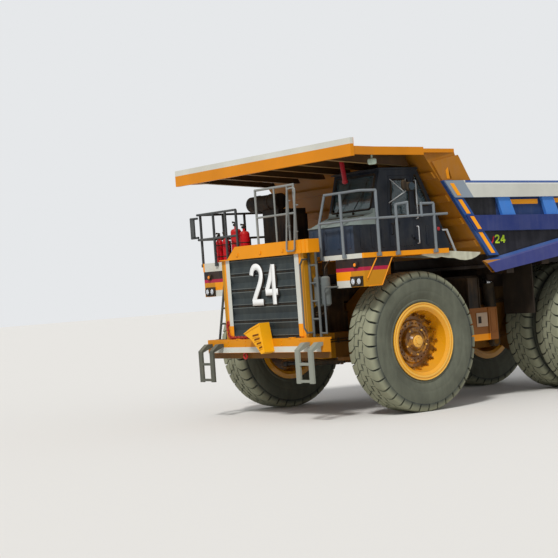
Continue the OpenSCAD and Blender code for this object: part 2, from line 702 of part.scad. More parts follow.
module right_hoist_barrel() hand(false) hoist_barrel();
module left_hoist_stage() hand(true) hoist_stage();
module right_hoist_stage() hand(false) hoist_stage();
module left_hoist_rod() hand(true) hoist_rod();
module right_hoist_rod() hand(false) hoist_rod();

// Body.

body_half = body_w / 2;
side_out = body_half - 115;
side_in = side_out - side_t;
// Lower line of the body sides, front to tail: y, z
belly = [[1740, 2560], [5000, 2990], [tail_y, 3620]];
// Slope of the front edge: foot and head: y, z
front_foot = [1660, 2870];
front_head = [290, 4750];
top_z = 4930;
function front_y(z) = front_foot[0]
    + (z - front_foot[1]) * (front_head[0] - front_foot[0]) / (front_head[1] - front_foot[1]);
// Underside of the floor plate
function floor_low(y) = 100 + (y < belly[1][0]
    ? belly[0][1] + (y - belly[0][0]) * (belly[1][1] - belly[0][1]) / (belly[1][0] - belly[0][0])
    : belly[1][1] + (y - belly[1][0]) * (belly[2][1] - belly[1][1]) / (belly[2][0] - belly[1][0]));

function under_floor(y) = floor_low(y) - seat_gap;

// Pitch of the uprights between the two upper side rails
upright_pitch = 1220;

// Cuts the outer upper edge of a side rail from one y, z to another
module long_chamfer(a, b, w) {
    run = norm(b - a);
    translate([body_half, a[0], a[1]]) rotate([atan2(b[1] - a[1], b[0] - a[0]), 0, 0]) translate([0, run + 40, 0])
        rotate([90, 0, 0]) linear_extrude(run + 80) polygon([[-w, 0], [-w, 60], [60, 60], [60, -w], [0, -w]]);
}

module dump_body() color(body_blue) {
    both() {
        // Side plate: y, z
        across(side_in, side_out) polygon(concat(belly, [[tail_y, 3950], [7300, 4270], [1150, 4380],
            [980, top_z], [front_y(top_z), top_z], [front_y(2870), 2870]]));
        // White top rail, second rail, and bottom rail: y, z
        difference() {
            across(side_out, body_half) polygon([
                [front_y(4050) + 20, 4050], [7300, 3960], [7300, 4270], [1150, 4380],
                [front_y(4380) + 20, 4380]]);
            long_chamfer([1150, 4380], [7300, 4270], 75);
        }
        across(side_out, body_half) polygon([
            [front_y(3390) + 20, 3390], [5000, 3310], [6400, 3540], [6400, 3590],
            [front_y(3700) + 20, 3700]]);
        difference() {
            across(side_out, body_half) polygon(concat(belly, [[tail_y, 3800], [5000, 3390], [1500, 2800]]));
            long_chamfer([1500, 2800], [5000, 3390], 75);
            long_chamfer([5000, 3390], [tail_y, 3800], 75);
            // Open front end of the bottom rail
            across(side_out + 15, body_half - 15) polygon([
                [1350, 2527], [2000, 2612], [2000, 2799], [1350, 2690]]);
        }
        // Gusset of the corner above the top rail, with its lightening hole
        difference() {
            across(side_out - 1, side_out + 50) polygon([[350, 4750], [1030, 4880], [1320, 4370], [592, 4370]]);
            across(side_out, side_out + 60) polygon([[770, 4610], [830, 4420], [760, 4420]]);
        }
        // Post on the slope, and the uprights between the rails
        across(side_out, body_half - 30) polygon([
            [front_y(4390), 4390], [front_y(2900), 2900], [front_y(2900) + 260, 2900],
            [front_y(4390) + 260, 4390]]);
        for (i = [0:4]) across(side_out, body_half - 40) translate([i * upright_pitch, 0]) polygon([
            [2100, 3640], [2460, 3640], [2290, 4060], [1965, 4060]]);
    }
    // Floor
    across(-side_in, side_in) polygon([
        [belly[0][0], floor_low(belly[0][0])], [belly[1][0], floor_low(belly[1][0])],
        [tail_y, floor_low(tail_y)], [tail_y, floor_low(tail_y) + floor_t],
        [belly[1][0], floor_low(belly[1][0]) + floor_t], [belly[0][0], floor_low(belly[0][0]) + floor_t]]);
    // Front wall and its ribs
    across(-side_in, side_in) polygon([
        [front_y(2660), 2660], [front_y(2660) + 70, 2720], [front_y(top_z) + 70, top_z],
        [front_y(top_z), top_z]]);
    for (z = [3150, 3600, 4050, 4500]) across(-side_in, side_in) polygon([
        [front_y(z - 60) - 50, z - 60], [front_y(z - 60) + 20, z - 60], [front_y(z + 60) + 20, z + 60],
        [front_y(z + 60) - 50, z + 60]]);
}

// The canopy's edge turns at the elbow and runs on to the side plate
elbow_x = canopy_w / 2 - 150;
elbow_y = -1190;
function edge_x(y) = y < elbow_y
    ? canopy_w / 2 + (y + canopy_front) * (elbow_x - canopy_w / 2) / (elbow_y + canopy_front)
    : elbow_x + (y - elbow_y) * (side_out - elbow_x) / (979 - elbow_y);

module canopy() color(yellow) {
    h = canopy_w / 2;
    low = top_z + seat_gap;
    // Plate: x, y
    translate([0, 0, low]) linear_extrude(50) polygon([
        [-h, -canopy_front], [h, -canopy_front], [elbow_x, elbow_y], [side_out, 979],
        [-side_out, 979], [-elbow_x, elbow_y]]);
    // Side beams along the edge: y from, y to, z from, z to
    both() for (b = [[-canopy_front + 79, elbow_y, -45, 105], [elbow_y, 130, -45, 105],
                     [129, 979, seat_gap, 75]])
        translate([0, 0, top_z + b[2]]) linear_extrude(b[3] - b[2]) polygon([
            [edge_x(b[0]), b[0]], [edge_x(b[1]), b[1]], [edge_x(b[1]) - 60, b[1]], [edge_x(b[0]) - 60, b[0]]]);
    // Front beam
    block([-h, -canopy_front, top_z + canopy_rise - canopy_beam_h], [h, -canopy_front + 80, top_z + canopy_rise]);
    // Ribs under the plate, deep at the front wall: y, z
    for (x = [-2200, -1320, -440, 440, 1320, 2200]) across(x - 25, x + 25) polygon([
        [-canopy_front + 50, low + 5], [-canopy_front + 50, low - 70],
        [front_y(top_z) - canopy_knee, low - 200],
        [front_y(top_z - 100) - 60, low - 200], [front_y(top_z) - 60, low - 60], [front_y(top_z) - 60, low + 5]]);
}

module body_beams() color(body_blue) {
    both() {
        // Sill on the frame rail: y, z
        across(rail_in + 20, rail_out - 20) polygon([
            [1900, 2400], [3300, rail_top + seat_gap], [hinge_y + 250, rail_top + seat_gap],
            [hinge_y + 250, under_floor(hinge_y + 250)], [belly[1][0], under_floor(belly[1][0])],
            [1900, under_floor(1900)]]);
        // Hinge ear outside the rail
        difference() {
            across(rail_out - 21, rail_out + 90) polygon([
                [hinge_y - 350, rail_top + 300], [hinge_y - 130, hinge_z - 60], [hinge_y - 60, hinge_z - 140],
                [hinge_y + 60, hinge_z - 140], [hinge_y + 130, hinge_z - 60],
                [hinge_y + 240, rail_top + 300]]);
            translate([0, hinge_y, hinge_z]) rotate([0, 90, 0]) cylinder(h = 1000, r = hinge_r + run_gap);
            block([rail_out - 30, hinge_y - 400, hinge_z - 200],
                [rail_out + 5, hinge_y + 400, rail_top + seat_gap]);
        }
        // Ears of the hoist head
        for (x = [hoist_x - 125, hoist_x + 90]) across(x, x + 35) polygon([
            [hoist_head_y - 200, under_floor(hoist_head_y - 200)], [hoist_head_y - 90, hoist_head_z - 100],
            [hoist_head_y + 90, hoist_head_z - 100], [hoist_head_y + 200, under_floor(hoist_head_y + 200)]]);
    }
    // Cross beams under the floor, cut at the sills
    sill_in = rail_in + 20 - seat_gap;
    sill_out = rail_out - 20 + seat_gap;
    for (y = [2300, 3300, 4300, 5300, 6200, 7100], x = [[-side_in, -sill_out], [-sill_in, sill_in],
                                                       [sill_out, side_in]])
        across(x[0], x[1]) polygon([
            [y - 100, floor_low(y) - 210], [y + 100, floor_low(y) - 210], [y + 100, under_floor(y + 100)],
            [y - 100, under_floor(y - 100)]]);
}

module mud_flaps() color(dust) both() block([1560, 3070, 1680], [2420, 3100, floor_low(3070) - seat_gap]);

module at_middle() translate([0, axle_y, 0]) children();

at_middle() chassis_frame();
at_middle() front_bumper();
at_middle() grille();
at_middle() hood();
at_middle() power_train();
at_middle() fender_panels();
at_middle() headlamps();
at_middle() left_deck();
at_middle() right_deck();
at_middle() handrails();
at_middle() ladders();
at_middle() cab_shell();
at_middle() cab_glass();
at_middle() cab_seat();
at_middle() air_cleaner();
at_middle() air_tanks();
at_middle() extinguishers();
at_middle() wheel_chock();
at_middle() side_tanks();
at_middle() fender_sheets();
at_middle() front_suspension();
at_middle() rear_axle();
at_middle() left_knuckle();
at_middle() right_knuckle();
at_middle() left_front_tyre();
at_middle() right_front_tyre();
at_middle() left_front_rim();
at_middle() right_front_rim();
at_middle() left_rear_tyres();
at_middle() right_rear_tyres();
at_middle() left_rear_rims();
at_middle() right_rear_rims();
at_middle() dump_body();
at_middle() canopy();
at_middle() body_beams();
at_middle() mud_flaps();
at_middle() left_hoist_barrel();
at_middle() right_hoist_barrel();
at_middle() left_hoist_stage();
at_middle() right_hoist_stage();
at_middle() left_hoist_rod();
at_middle() right_hoist_rod();
at_middle() left_steer_barrel();
at_middle() right_steer_barrel();
at_middle() left_steer_rod();
at_middle() right_steer_rod();
at_middle() tie_rod();
at_middle() cab_door();
at_middle() door_glass();
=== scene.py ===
# %% [markdown]
# # A rigid mining dump truck
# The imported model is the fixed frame: every plate, beam, wheel and cylinder already has its real size and place.
# This lesson dresses it. Each finish is worked out from what the real surface is, and each added piece is a
# surface computed with numpy, put in the mesh in metres, in the same frame as the model.
# The truck faces -Y, +Z is up and the cab side is +X.

# %% Load the frame
import math
import bpy
import numpy as np
from mathutils import Matrix


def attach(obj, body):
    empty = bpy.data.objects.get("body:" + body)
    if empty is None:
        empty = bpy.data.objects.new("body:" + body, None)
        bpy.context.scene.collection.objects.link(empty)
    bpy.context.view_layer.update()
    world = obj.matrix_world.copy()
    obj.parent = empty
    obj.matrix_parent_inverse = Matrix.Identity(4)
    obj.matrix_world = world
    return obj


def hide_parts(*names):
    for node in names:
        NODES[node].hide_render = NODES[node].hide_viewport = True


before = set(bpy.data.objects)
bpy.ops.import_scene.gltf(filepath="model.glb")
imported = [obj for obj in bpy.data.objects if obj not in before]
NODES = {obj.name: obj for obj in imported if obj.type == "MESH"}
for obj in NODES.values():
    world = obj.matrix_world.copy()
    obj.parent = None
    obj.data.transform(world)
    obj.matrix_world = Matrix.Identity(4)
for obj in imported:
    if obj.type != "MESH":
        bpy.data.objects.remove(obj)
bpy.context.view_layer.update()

# %% [markdown]
# The front axle stands at y = -2.910 in this frame. The drawing office measures every length back from it,
# so one small function moves such a length into the frame.

# %% Sizes that several pieces share, in metres
FRONT_AXLE = -2.910
WHEELBASE = 4.950
AXLE_Z = 1.345
FRONT_WHEEL_X = 2.1625
REAR_WHEELS_X = (1.305, 2.195)
SIDES = (("left", 1), ("right", -1))


def aft(y):
    """A distance behind the front axle, as a y in this frame."""
    return y + FRONT_AXLE


def unit(vectors):
    """The same directions at length 1."""
    vectors = np.array(vectors, float)
    return vectors / np.linalg.norm(vectors, axis=-1, keepdims=True)


def show(name, data, columns=None):
    """Puts data in the scene. The columns of its matrix are its right, up and back directions and its place."""
    made = bpy.data.objects.new(name, data)
    bpy.context.scene.collection.objects.link(made)
    if columns:
        made.matrix_world = Matrix([*np.stack(columns, 1).tolist(), (0, 0, 0, 1)])
    return made


# %% [markdown]
# The camera stands low and far off the left front corner, as a person with a long lens would. Its angles and
# distance were fitted to known sizes: the tyre, the wheelbase and the canopy. It is rolled about 4 degrees.

# %% Camera
AZIMUTH, ELEVATION, ROLL = 0.946, -0.005, -0.072
CAMERA_PLACE = (24.463, -22.049, 2.582)
SENSOR_WIDTH, FOCAL_LENGTH, FAR_CLIP = 36.0, 98.16, 400.0


def place_camera():
    """Right lies level at the azimuth, up is back crossed with right, and both are turned about back by the roll."""
    back = np.array([math.sin(AZIMUTH) * math.cos(ELEVATION), -math.cos(AZIMUTH) * math.cos(ELEVATION),
                     math.sin(ELEVATION)])
    right = np.array([math.cos(AZIMUTH), math.sin(AZIMUTH), 0.0])
    up = np.cross(back, right)
    turned = right * math.cos(ROLL) + up * math.sin(ROLL)
    upright = -right * math.sin(ROLL) + up * math.cos(ROLL)
    data = bpy.data.cameras.new("camera")
    data.sensor_fit, data.sensor_width, data.lens, data.clip_end = "HORIZONTAL", SENSOR_WIDTH, FOCAL_LENGTH, FAR_CLIP
    bpy.context.scene.camera = show("camera", data, (turned, upright, back, CAMERA_PLACE))


place_camera()
bpy.context.scene.view_settings.view_transform = "Standard"

# %% [markdown]
# Colours are written as sRGB hex, as on a paint card, and one function turns them to the linear values that
# the renderer adds up. One small function adds a node, with its settings and its links, and one starts a finish.

# %% Colour and node helpers
PAINTS = {}


def linear(card):
    """sRGB hex to linear RGBA: below 0.04045 a straight line, above it a power of 2.4."""
    c = np.array([int(card[i:i + 2], 16) for i in (1, 3, 5)]) / 255.0
    c = np.where(c <= 0.04045, c / 12.92, ((c + 0.055) / 1.055) ** 2.4)
    return (*c.tolist(), 1.0)


def put(tree, value, socket):
    """A node's first output, another output or a plain value goes into the socket."""
    if isinstance(value, bpy.types.Node):
        value = value.outputs[0]
    if isinstance(value, bpy.types.NodeSocket):
        tree.links.new(value, socket)
    else:
        socket.default_value = value


def add(tree, kind, inputs=None, **settings):
    """Adds one shader node: settings are its properties, and inputs says what goes into its sockets. Numbers name
    the sockets of Math and VectorMath (0 and 1), Mix (0 share, 6 and 7 colours) and MapRange (0, from 1-2, to 3-4)."""
    made = tree.nodes.new("ShaderNode" + kind)
    for key, value in settings.items():
        setattr(made, key, value)
    for key, value in (inputs or {}).items():
        put(tree, value, made.inputs[key])
    return made


def new_finish(name, inputs):
    """A material in PAINTS, with plain values on its shader's sockets. Gives back its tree and its shader."""
    PAINTS[name] = bpy.data.materials.new(name)
    PAINTS[name].use_nodes = True
    tree = PAINTS[name].node_tree
    shader = tree.nodes["Principled BSDF"]
    for key, value in inputs.items():
        shader.inputs[key].default_value = value
    return tree, shader


# %% [markdown]
# A soft sun high over the front corner and an even sky light the truck, at a level where a paint card's colour
# renders about as it is written. The camera sees the same pale backdrop that gloss and glass reflect.

# %% Light, backdrop and floor
TO_SUN = (0.42, -0.62, 0.80)
SUN_POWER, SUN_SPREAD = 2.5, math.radians(9)
FLOOR_HALF = 150.0


def make_stage():
    """The sky is pale to the camera and to mirror rays, and dimmer as a lamp. The floor is one square plane."""
    sun = bpy.data.lights.new("sun", "SUN")
    sun.energy, sun.angle = SUN_POWER, SUN_SPREAD
    back = unit(TO_SUN)
    right = unit(np.cross([0, 0, 1], back))
    show("sun", sun, (right, np.cross(back, right), back, (0, 0, 0)))
    world = bpy.data.worlds.new("sky")
    bpy.context.scene.world = world
    world.use_nodes = True
    tree = world.node_tree
    tree.nodes.clear()
    path = add(tree, "LightPath").outputs
    seen = add(tree, "Math", {0: path["Is Camera Ray"], 1: path["Is Glossy Ray"]}, operation="MAXIMUM")
    seen = add(tree, "Math", {0: seen, 1: path["Is Transmission Ray"]}, operation="MAXIMUM")
    lit = add(tree, "Background", {"Color": linear("#F4F6FA"), "Strength": 0.62})
    shown = add(tree, "Background", {"Color": linear("#E6E8EA"), "Strength": 1.0})
    mixed = add(tree, "MixShader", {0: seen, 1: lit, 2: shown})
    add(tree, "OutputWorld", {"Surface": mixed})
    mesh = bpy.data.meshes.new("floor")
    mesh.from_pydata([(a * FLOOR_HALF, b * FLOOR_HALF, 0) for a, b in ((-1, -1), (1, -1), (1, 1), (-1, 1))], [],
                     [(0, 1, 2, 3)])
    new_finish("pale_floor", {"Base Color": linear("#D9D6D0"), "Roughness": 0.9})
    mesh.materials.append(PAINTS["pale_floor"])
    show("floor", mesh)


make_stage()

# %% [markdown]
# Haul-truck paint is a thick two-part enamel, sprayed on steel and then sanded by years of grit. To the eye it is
# a strong colour with a soft gloss, a pale film of dust that lies on level surfaces and low down, thin streaks
# where water ran, and small dark chips. One finish function gives all of that and differs only by its card colour.
# Stripes are painted areas on the same plate, so they are zones of the same finish: a zone is the space on the
# near side of a few planes, and its two sides are mirrored by reading the distance from the middle.

# %% Painted steel
def zone_mask(tree, place, planes):
    """1 where normal . place is more than offset for every plane (nx, ny, nz, offset), and 0 elsewhere."""
    mask = None
    for nx, ny, nz, offset in planes:
        side = add(tree, "VectorMath", {0: place, 1: (nx, ny, nz)}, operation="DOT_PRODUCT")
        side = add(tree, "Math", {0: side.outputs["Value"], 1: offset}, operation="GREATER_THAN")
        mask = side if mask is None else add(tree, "Math", {0: mask, 1: side}, operation="MULTIPLY")
    return mask


def span(x=None, y=None, z=None):
    """The planes of a box: each of x, y and z is None or a pair of low and high."""
    planes = []
    for axis, pair in enumerate((x, y, z)):
        if pair:
            for sign, value in ((1, pair[0]), (-1, -pair[1])):
                normal = [0, 0, 0]
                normal[axis] = sign
                planes.append((*normal, value))
    return planes


def from_axis(tree, place, y, z):
    """A point's distance from the line that runs across the truck at y and z."""
    apart = add(tree, "VectorMath", {0: place, 1: (0, y, z)}, operation="SUBTRACT")
    apart = add(tree, "VectorMath", {0: apart, 1: (0, 1, 1)}, operation="MULTIPLY")
    return add(tree, "VectorMath", {0: apart}, operation="LENGTH").outputs["Value"]


def painted(name, card, zones=(), *, dust, roughness=0.42, chips=0.5, dust_card="#A5855A", mirrored=True,
            grease_and_shade=None, worn_card=None, shine=0.16, tread=False):
    """Enamel on steel. Colour: card, then each zone's card where its mask is 1, then chips, then dust.
    Dust share = dust * (large noise above its middle + streaks + level share). Roughness grows with the dust.
    For the rims, (axle y, reach, card) darkens the deep disc: inside that reach of the axle the colour turns to the
    card, which is grease and painted shade.
    worn_card shows where the piece's own wear attribute is 1; where it is 0, as on a tyre's groove floors, the card
    stays dark as painted shade. tread presses rows of short raised bars in."""
    tree, shader = new_finish(name, {"Specular IOR Level": shine})
    spot = add(tree, "TexCoord").outputs
    place = folded = spot["Object"]
    if zones and mirrored:
        part = add(tree, "SeparateXYZ", {0: place}).outputs
        out = add(tree, "Math", {0: part["X"]}, operation="ABSOLUTE")
        folded = add(tree, "CombineXYZ", {0: out, 1: part["Y"], 2: part["Z"]})
    colour = linear(card)
    for zone_card, planes in zones:
        mask = zone_mask(tree, folded, planes)
        colour = add(tree, "Mix", {0: mask, 6: colour, 7: linear(zone_card)}, data_type="RGBA").outputs[2]
    if grease_and_shade:
        axle_y, reach, grease_and_shade_card = grease_and_shade
        apart = from_axis(tree, place, axle_y, AXLE_Z)
        # Patches a hand's width across let the gold through the grease and painted shade
        patchy = add(tree, "TexNoise", {"Vector": place, "Scale": 7.0, "Detail": 4.0})
        patchy = add(tree, "MapRange", {0: patchy, 1: 0.50, 2: 0.60, 3: 0.92, 4: 0.45})
        near = add(tree, "MapRange", {0: apart, 1: reach - 0.03, 2: reach, 3: 1.0, 4: 0.0})
        near = add(tree, "Math", {0: near, 1: patchy}, operation="MULTIPLY")
        colour = add(tree, "Mix", {0: near, 6: colour, 7: linear(grease_and_shade_card)}, data_type="RGBA").outputs[2]
    if worn_card:
        wear_and_groove_shade = add(tree, "Attribute", attribute_name="wear_and_groove_shade").outputs["Fac"]
        wear_and_groove_shade = add(tree, "Math", {0: wear_and_groove_shade, 1: 0.9}, operation="MULTIPLY")
        colour = add(tree, "Mix", {0: wear_and_groove_shade, 6: colour, 7: linear(worn_card)}, data_type="RGBA").outputs[2]
    # Sun-faded patches about a metre across, from 10% darker to 6% lighter
    patches = add(tree, "TexNoise", {"Vector": place, "Scale": 1.1, "Detail": 3.0})
    shade = add(tree, "MapRange", {0: patches, 1: 0.3, 2: 0.7, 3: 0.90, 4: 1.06})
    colour = add(tree, "Mix", {0: 1.0, 6: colour, 7: shade}, data_type="RGBA", blend_type="MULTIPLY").outputs[2]
    # Chips 5 to 20 mm across
    speck = add(tree, "TexNoise", {"Vector": place, "Scale": 42.0, "Detail": 4.0, "Roughness": 0.65})
    chip = add(tree, "MapRange", {0: speck, 1: 0.70, 2: 0.74, 3: 0.0, 4: chips})
    colour = add(tree, "Mix", {0: chip, 6: colour, 7: linear("#3A332C")}, data_type="RGBA").outputs[2]
    # Streaks run down: the pattern is stretched eight times along z
    run = add(tree, "Mapping", {"Vector": place, "Scale": (9.0, 9.0, 1.1)})
    streak = add(tree, "TexNoise", {"Vector": run, "Scale": 1.0, "Detail": 5.0})
    streak = add(tree, "MapRange", {0: streak, 1: 0.45, 2: 0.75, 3: 0.0, 4: 0.55})
    level = add(tree, "SeparateXYZ", {0: spot["Normal"]}).outputs["Z"]
    level = add(tree, "MapRange", {0: level, 1: 0.3, 2: 1.0, 3: 0.0, 4: 1.3})
    film = add(tree, "TexNoise", {"Vector": place, "Scale": 2.3, "Detail": 7.0, "Roughness": 0.6})
    film = add(tree, "MapRange", {0: film, 1: 0.38, 2: 0.85, 3: 0.0, 4: 1.0})
    film = add(tree, "Math", {0: film, 1: streak}, operation="ADD")
    film = add(tree, "Math", {0: film, 1: level}, operation="ADD")
    film = add(tree, "Math", {0: film, 1: dust}, operation="MULTIPLY", use_clamp=True)
    colour = add(tree, "Mix", {0: film, 6: colour, 7: linear(dust_card)}, data_type="RGBA").outputs[2]
    put(tree, colour, shader.inputs["Base Color"])
    rough = add(tree, "MapRange", {0: film, 1: 0.0, 2: 0.6, 3: roughness, 4: 0.85})
    put(tree, rough, shader.inputs["Roughness"])
    # Orange peel of the sprayed coat, and the step down into a chip
    peel = add(tree, "TexNoise", {"Vector": place, "Scale": 160.0, "Detail": 1.0})
    sunk = add(tree, "Math", {0: peel, 1: 0.12}, operation="MULTIPLY")
    sunk = add(tree, "Math", {0: sunk, 1: chip}, operation="SUBTRACT")
    if tread:
        # Bars 60 mm apart, each about 30 mm long
        turned = add(tree, "Mapping", {"Vector": place, "Rotation": (0, 0, math.radians(45)),
                                       "Scale": (33.0, 16.5, 16.5)})
        bars = add(tree, "TexChecker", {"Vector": turned, "Scale": 1.0}).outputs["Fac"]
        sunk = add(tree, "Math", {0: bars, 1: sunk}, operation="ADD")
    bump = add(tree, "Bump", {"Strength": 0.25, "Distance": 0.002, "Height": sunk})
    put(tree, bump, shader.inputs["Normal"])


# %% [markdown]
# Each plate's stripes follow. The canopy's front beam is white on its upper third and its underside is dark brown,
# which is painted shade. The bumper has a white lower stripe with yellow ends. The lamp panels carry a black band, a
# deep magenta line, a yellow band and a white corner. Sides that face away from the light, such as the hood's columns
# and the lower frame, have darker cards, which are painted shade.

# %% Paint cards and the painted zones
YELLOW, WHITE, NAVY, GOLD, OCHRE = "#EA9206", "#C6C6BC", "#1B212B", "#E09A10", "#B27C2C"
# The dark brown of the rims' deep disc is grease and painted shade
HOOD_YELLOW, GREASE_AND_SHADE = "#E08C08", "#5C3606"
PANEL_FACE = aft(-1.40)
# Inside the canopy's side beams, which draw in by 92 mm a metre towards the back
BESIDE_BEAM = (-1, -0.0922, 0, -2.68 - 0.0922 * aft(0.0))
canopy_zones = [
    # Under the canopy, behind the front beam and inside the side beams: dark brown below z 4.95 as painted shade, and a
    # mid brown band up to 4.99
    ("#4A3622", [(0, 0, -1, -4.95), (0, 1, 0, aft(-1.779)), BESIDE_BEAM]),
    ("#6E5A42", [(0, 0, 1, 4.95), (0, 0, -1, -4.99), (0, 1, 0, aft(-1.779)), BESIDE_BEAM]),
    (WHITE, [(0, 0, 1, 5.075), (0, -1, 0, -aft(-1.79))]),
]
bumper_zones = [
    (WHITE, span(x=(0.0, 1.86), z=(1.315, 1.425), y=(aft(-2.1), aft(-1.98)))),
    ("#6E4A16", [(0, 0, -1, -1.3)]),
]
hood_zones = [
    # The columns' outer sides: a darker yellow, as painted shade
    ("#B07A14", [(1, 0, 0, 1.31), (0, 0, -1, -3.185)]),
    # Behind the front face and under the deck: dark brown, as painted shade
    ("#5A3E14", [(0, 1, 0, aft(-1.62)), (0, 0, -1, -3.0)]),
]
fender_zones = [
    ("#1C1B22", span(z=(2.80, 3.01))),
    ("#A5123F", span(z=(2.765, 2.835))),
    (WHITE, span(x=(1.8, 2.30), z=(2.46, 2.60), y=(aft(-1.6), PANEL_FACE))),
    # The side plate below the magenta line: a darker yellow, painted shade under the deck's edge
    ("#C0800E", [(1, 0, 0, 2.30), (0, 0, -1, -2.765), (0, 1, 0, aft(-1.53))]),
    # Inside the panel behind its face: dark brown, painted shade
    ("#3A2C1A", [(0, 1, 0, aft(-1.449)), (-1, 0, 0, -2.69)]),
]
grille_zones = [(WHITE, span(x=(1.107, 1.30), z=(1.85, 3.2))), (YELLOW, span(x=(1.107, 1.30), z=(1.5, 1.85)))]
deck_zones = [(WHITE, span(x=(1.48, 2.66), y=(aft(-1.52), aft(-1.49)), z=(3.0, 3.30)))]
# The lower front panel's bluer grey (#2F3B4C) is a painted reflection of the sky on the navy paint
cab_zones = [("#84908C", [(0, 0, 1, 3.63), (0, 0, -1, -3.93), (0, -1, 0, -aft(-0.82))]),
             ("#2F3B4C", [(0, 0, -1, -3.63), (0, -1, 0, -aft(-1.375))])]
# Painted shade: the frame's card is dark behind its yellow front end, and darker still on its upper rear part under the
# body
frame_zones = [("#B27A14", [(0, -1, 0, -aft(-0.75))]), ("#3A2A18", [(0, 1, 0, aft(1.2)), (0, 0, 1, 1.9)])]
tank_zones = [
    ("#17130F", [(0, 0, 1, 1.862), (1, 0, 0, 0.0)]),
    ("#E08A12", [(0, 0, -1, -1.33), (1, 0, 0, 1.84), (0, -1, 0, -aft(2.33))]),
    ("#A8927C", span(x=(1.86, 1.90), y=(aft(1.9), aft(2.31)), z=(1.4, 1.8))),
    ("#2A2018", span(x=(1.86, 1.90), y=(aft(2.03), aft(2.12)), z=(1.55, 1.69))),
]
# The same ladder paint is pale on the left lower ladder and darker on the right one, as painted shade
ladder_zones = [
    ("#84877C", [(0, 0, -1, -1.54), (1, 0, 0, 0.0)]),
    ("#4A4C44", [(0, 0, -1, -1.54), (-1, 0, 0, 0.0)]),
    ("#565B5C", [(1, 0, 0, 0.0), (0, 0, 1, 1.55), (0, 0, -1, -2.95)]),
]
# Lit and shaded copies of one tube paint: dark rails on the right side as painted shade, paler ones on the hood and the
# left deck painted as lit
rail_zones = [
    ("#24282B", [(-1, 0, 0, 1.24)]),
    ("#7C7E7A", span(x=(-0.10, 1.42), y=(aft(-2.1), aft(-1.8)))),
    ("#6A7176", [(1, 0, 0, 1.45), (0, 0, 1, 3.0)]),
]
# The body's sloping front edge: y behind the front axle = CORNER_Y - LEAN * (z - CORNER_Z)
LEAN, CORNER_Y, CORNER_Z = 0.7287, 1.660, 2.870
SLOPE = aft(CORNER_Y) + LEAN * CORNER_Z
FRONT, REAR = (0, 1, LEAN), (0, -1, -LEAN)
# The body's side is divided into bays, and its floor rises to the rear
BAY, FLOOR_RISE = 1.22, 0.1319
STIFFENER = [span(x=(2.655, 2.735), y=(aft(1.90 + BAY * k), aft(2.55 + BAY * k)), z=(3.55, 4.10)) for k in range(5)]
body_zones = [
    # Recess behind the rails, darkened as painted shade: black in the first bay, deep blue behind, near black under the
    # second rail
    ("#12305E", span(x=(2.60, 2.656), z=(3.5, 4.2))),
    ("#101116", span(x=(2.60, 2.656), y=(aft(0.0), aft(1.98)), z=(3.5, 4.2))),
    ("#12121C", span(x=(2.60, 2.656), z=(2.3, 3.5))),
    ("#264A86", span(x=(2.655, 2.737), z=(2.8, 4.4))),
    *[("#3F7BC8", planes) for planes in STIFFENER],
    ("#223068", span(x=(2.737, 2.80), z=(3.28, 3.75))),
    (WHITE, span(x=(2.737, 2.80), z=(3.94, 4.45))),
    ("#87929C", [(1, 0, 0, 2.737), (0, 0, 1, 3.94), (*REAR, -SLOPE - 0.50)]),
    # The corner above the rail and the front wall: a darker yellow, painted shade under the canopy. Below the front
    # wall and under the floor: near black, painted shade. Then the inside of the bottom rail's end
    ("#A0660A", [(0, 0, 1, 4.383), (-1, 0, 0, -2.72)]),
    ("#A2690A", [(*REAR, -SLOPE - 0.030), (-1, 0, 0, -2.652), (0, 0, 1, 2.93)]),
    ("#241C14", [(*REAR, -SLOPE - 0.030), (-1, 0, 0, -2.652), (0, 0, -1, -2.93)]),
    ("#241C14", [(-1, 0, 0, -2.60), (0, FLOOR_RISE, -1, -(2.665 - FLOOR_RISE * aft(1.740)))]),
    ("#A2690A", span(x=(2.66, 2.752), y=(aft(1.3), aft(2.01)), z=(2.5, 2.81))),
    # Inside: steel scoured bright and brown by rock
    ("#7A6A58", [(-1, 0, 0, -2.602), (*FRONT, SLOPE + 0.035), (0, -FLOOR_RISE, 1, 2.69 - FLOOR_RISE * aft(1.740)),
                 (0, -0.2034, 1, 3.12 - 0.2034 * aft(5.000))]),
]

painted("yellow_enamel", HOOD_YELLOW, dust=0.12, dust_card=OCHRE)
painted("hood_enamel", HOOD_YELLOW, hood_zones, dust=0.12, dust_card=OCHRE)
painted("frame_enamel", "#6E4612", frame_zones, dust=0.30, chips=0.8, dust_card="#8A6A3C")
# Near black: painted shade under the body, also on the ejectors and on the engine bay's dark sheet
painted("underbody_shade_enamel", "#241C16", dust=0.25, chips=0.6, dust_card="#6A5236")
painted("tank_enamel", "#7E4C20", tank_zones, dust=0.22, chips=0.9, dust_card="#8A6A48", mirrored=False)
painted("canopy_enamel", "#CE7E06", canopy_zones, dust=0.08, dust_card=OCHRE)
painted("bumper_enamel", "#CE8208", bumper_zones, dust=0.12, dust_card=OCHRE)
painted("fender_enamel", YELLOW, fender_zones, dust=0.10, dust_card=OCHRE)
painted("grille_enamel", "#2A3133", grille_zones, dust=0.12, roughness=0.55, dust_card="#7E8478")
painted("deck_enamel", YELLOW, deck_zones, dust=0.16, dust_card=OCHRE, tread=True)
painted("cab_enamel", NAVY, cab_zones, dust=0.12, roughness=0.32, dust_card="#7C7A6C")
painted("body_enamel", "#383E78", body_zones, dust=0.10, dust_card="#8C8A90")
painted("front_rim_enamel", GOLD, dust=0.10, roughness=0.24, shine=0.5, grease_and_shade=(aft(0.0), 0.565, GREASE_AND_SHADE))
painted("rear_rim_enamel", GOLD, dust=0.12, roughness=0.30, shine=0.5, grease_and_shade=(aft(WHEELBASE), 0.565, GREASE_AND_SHADE))
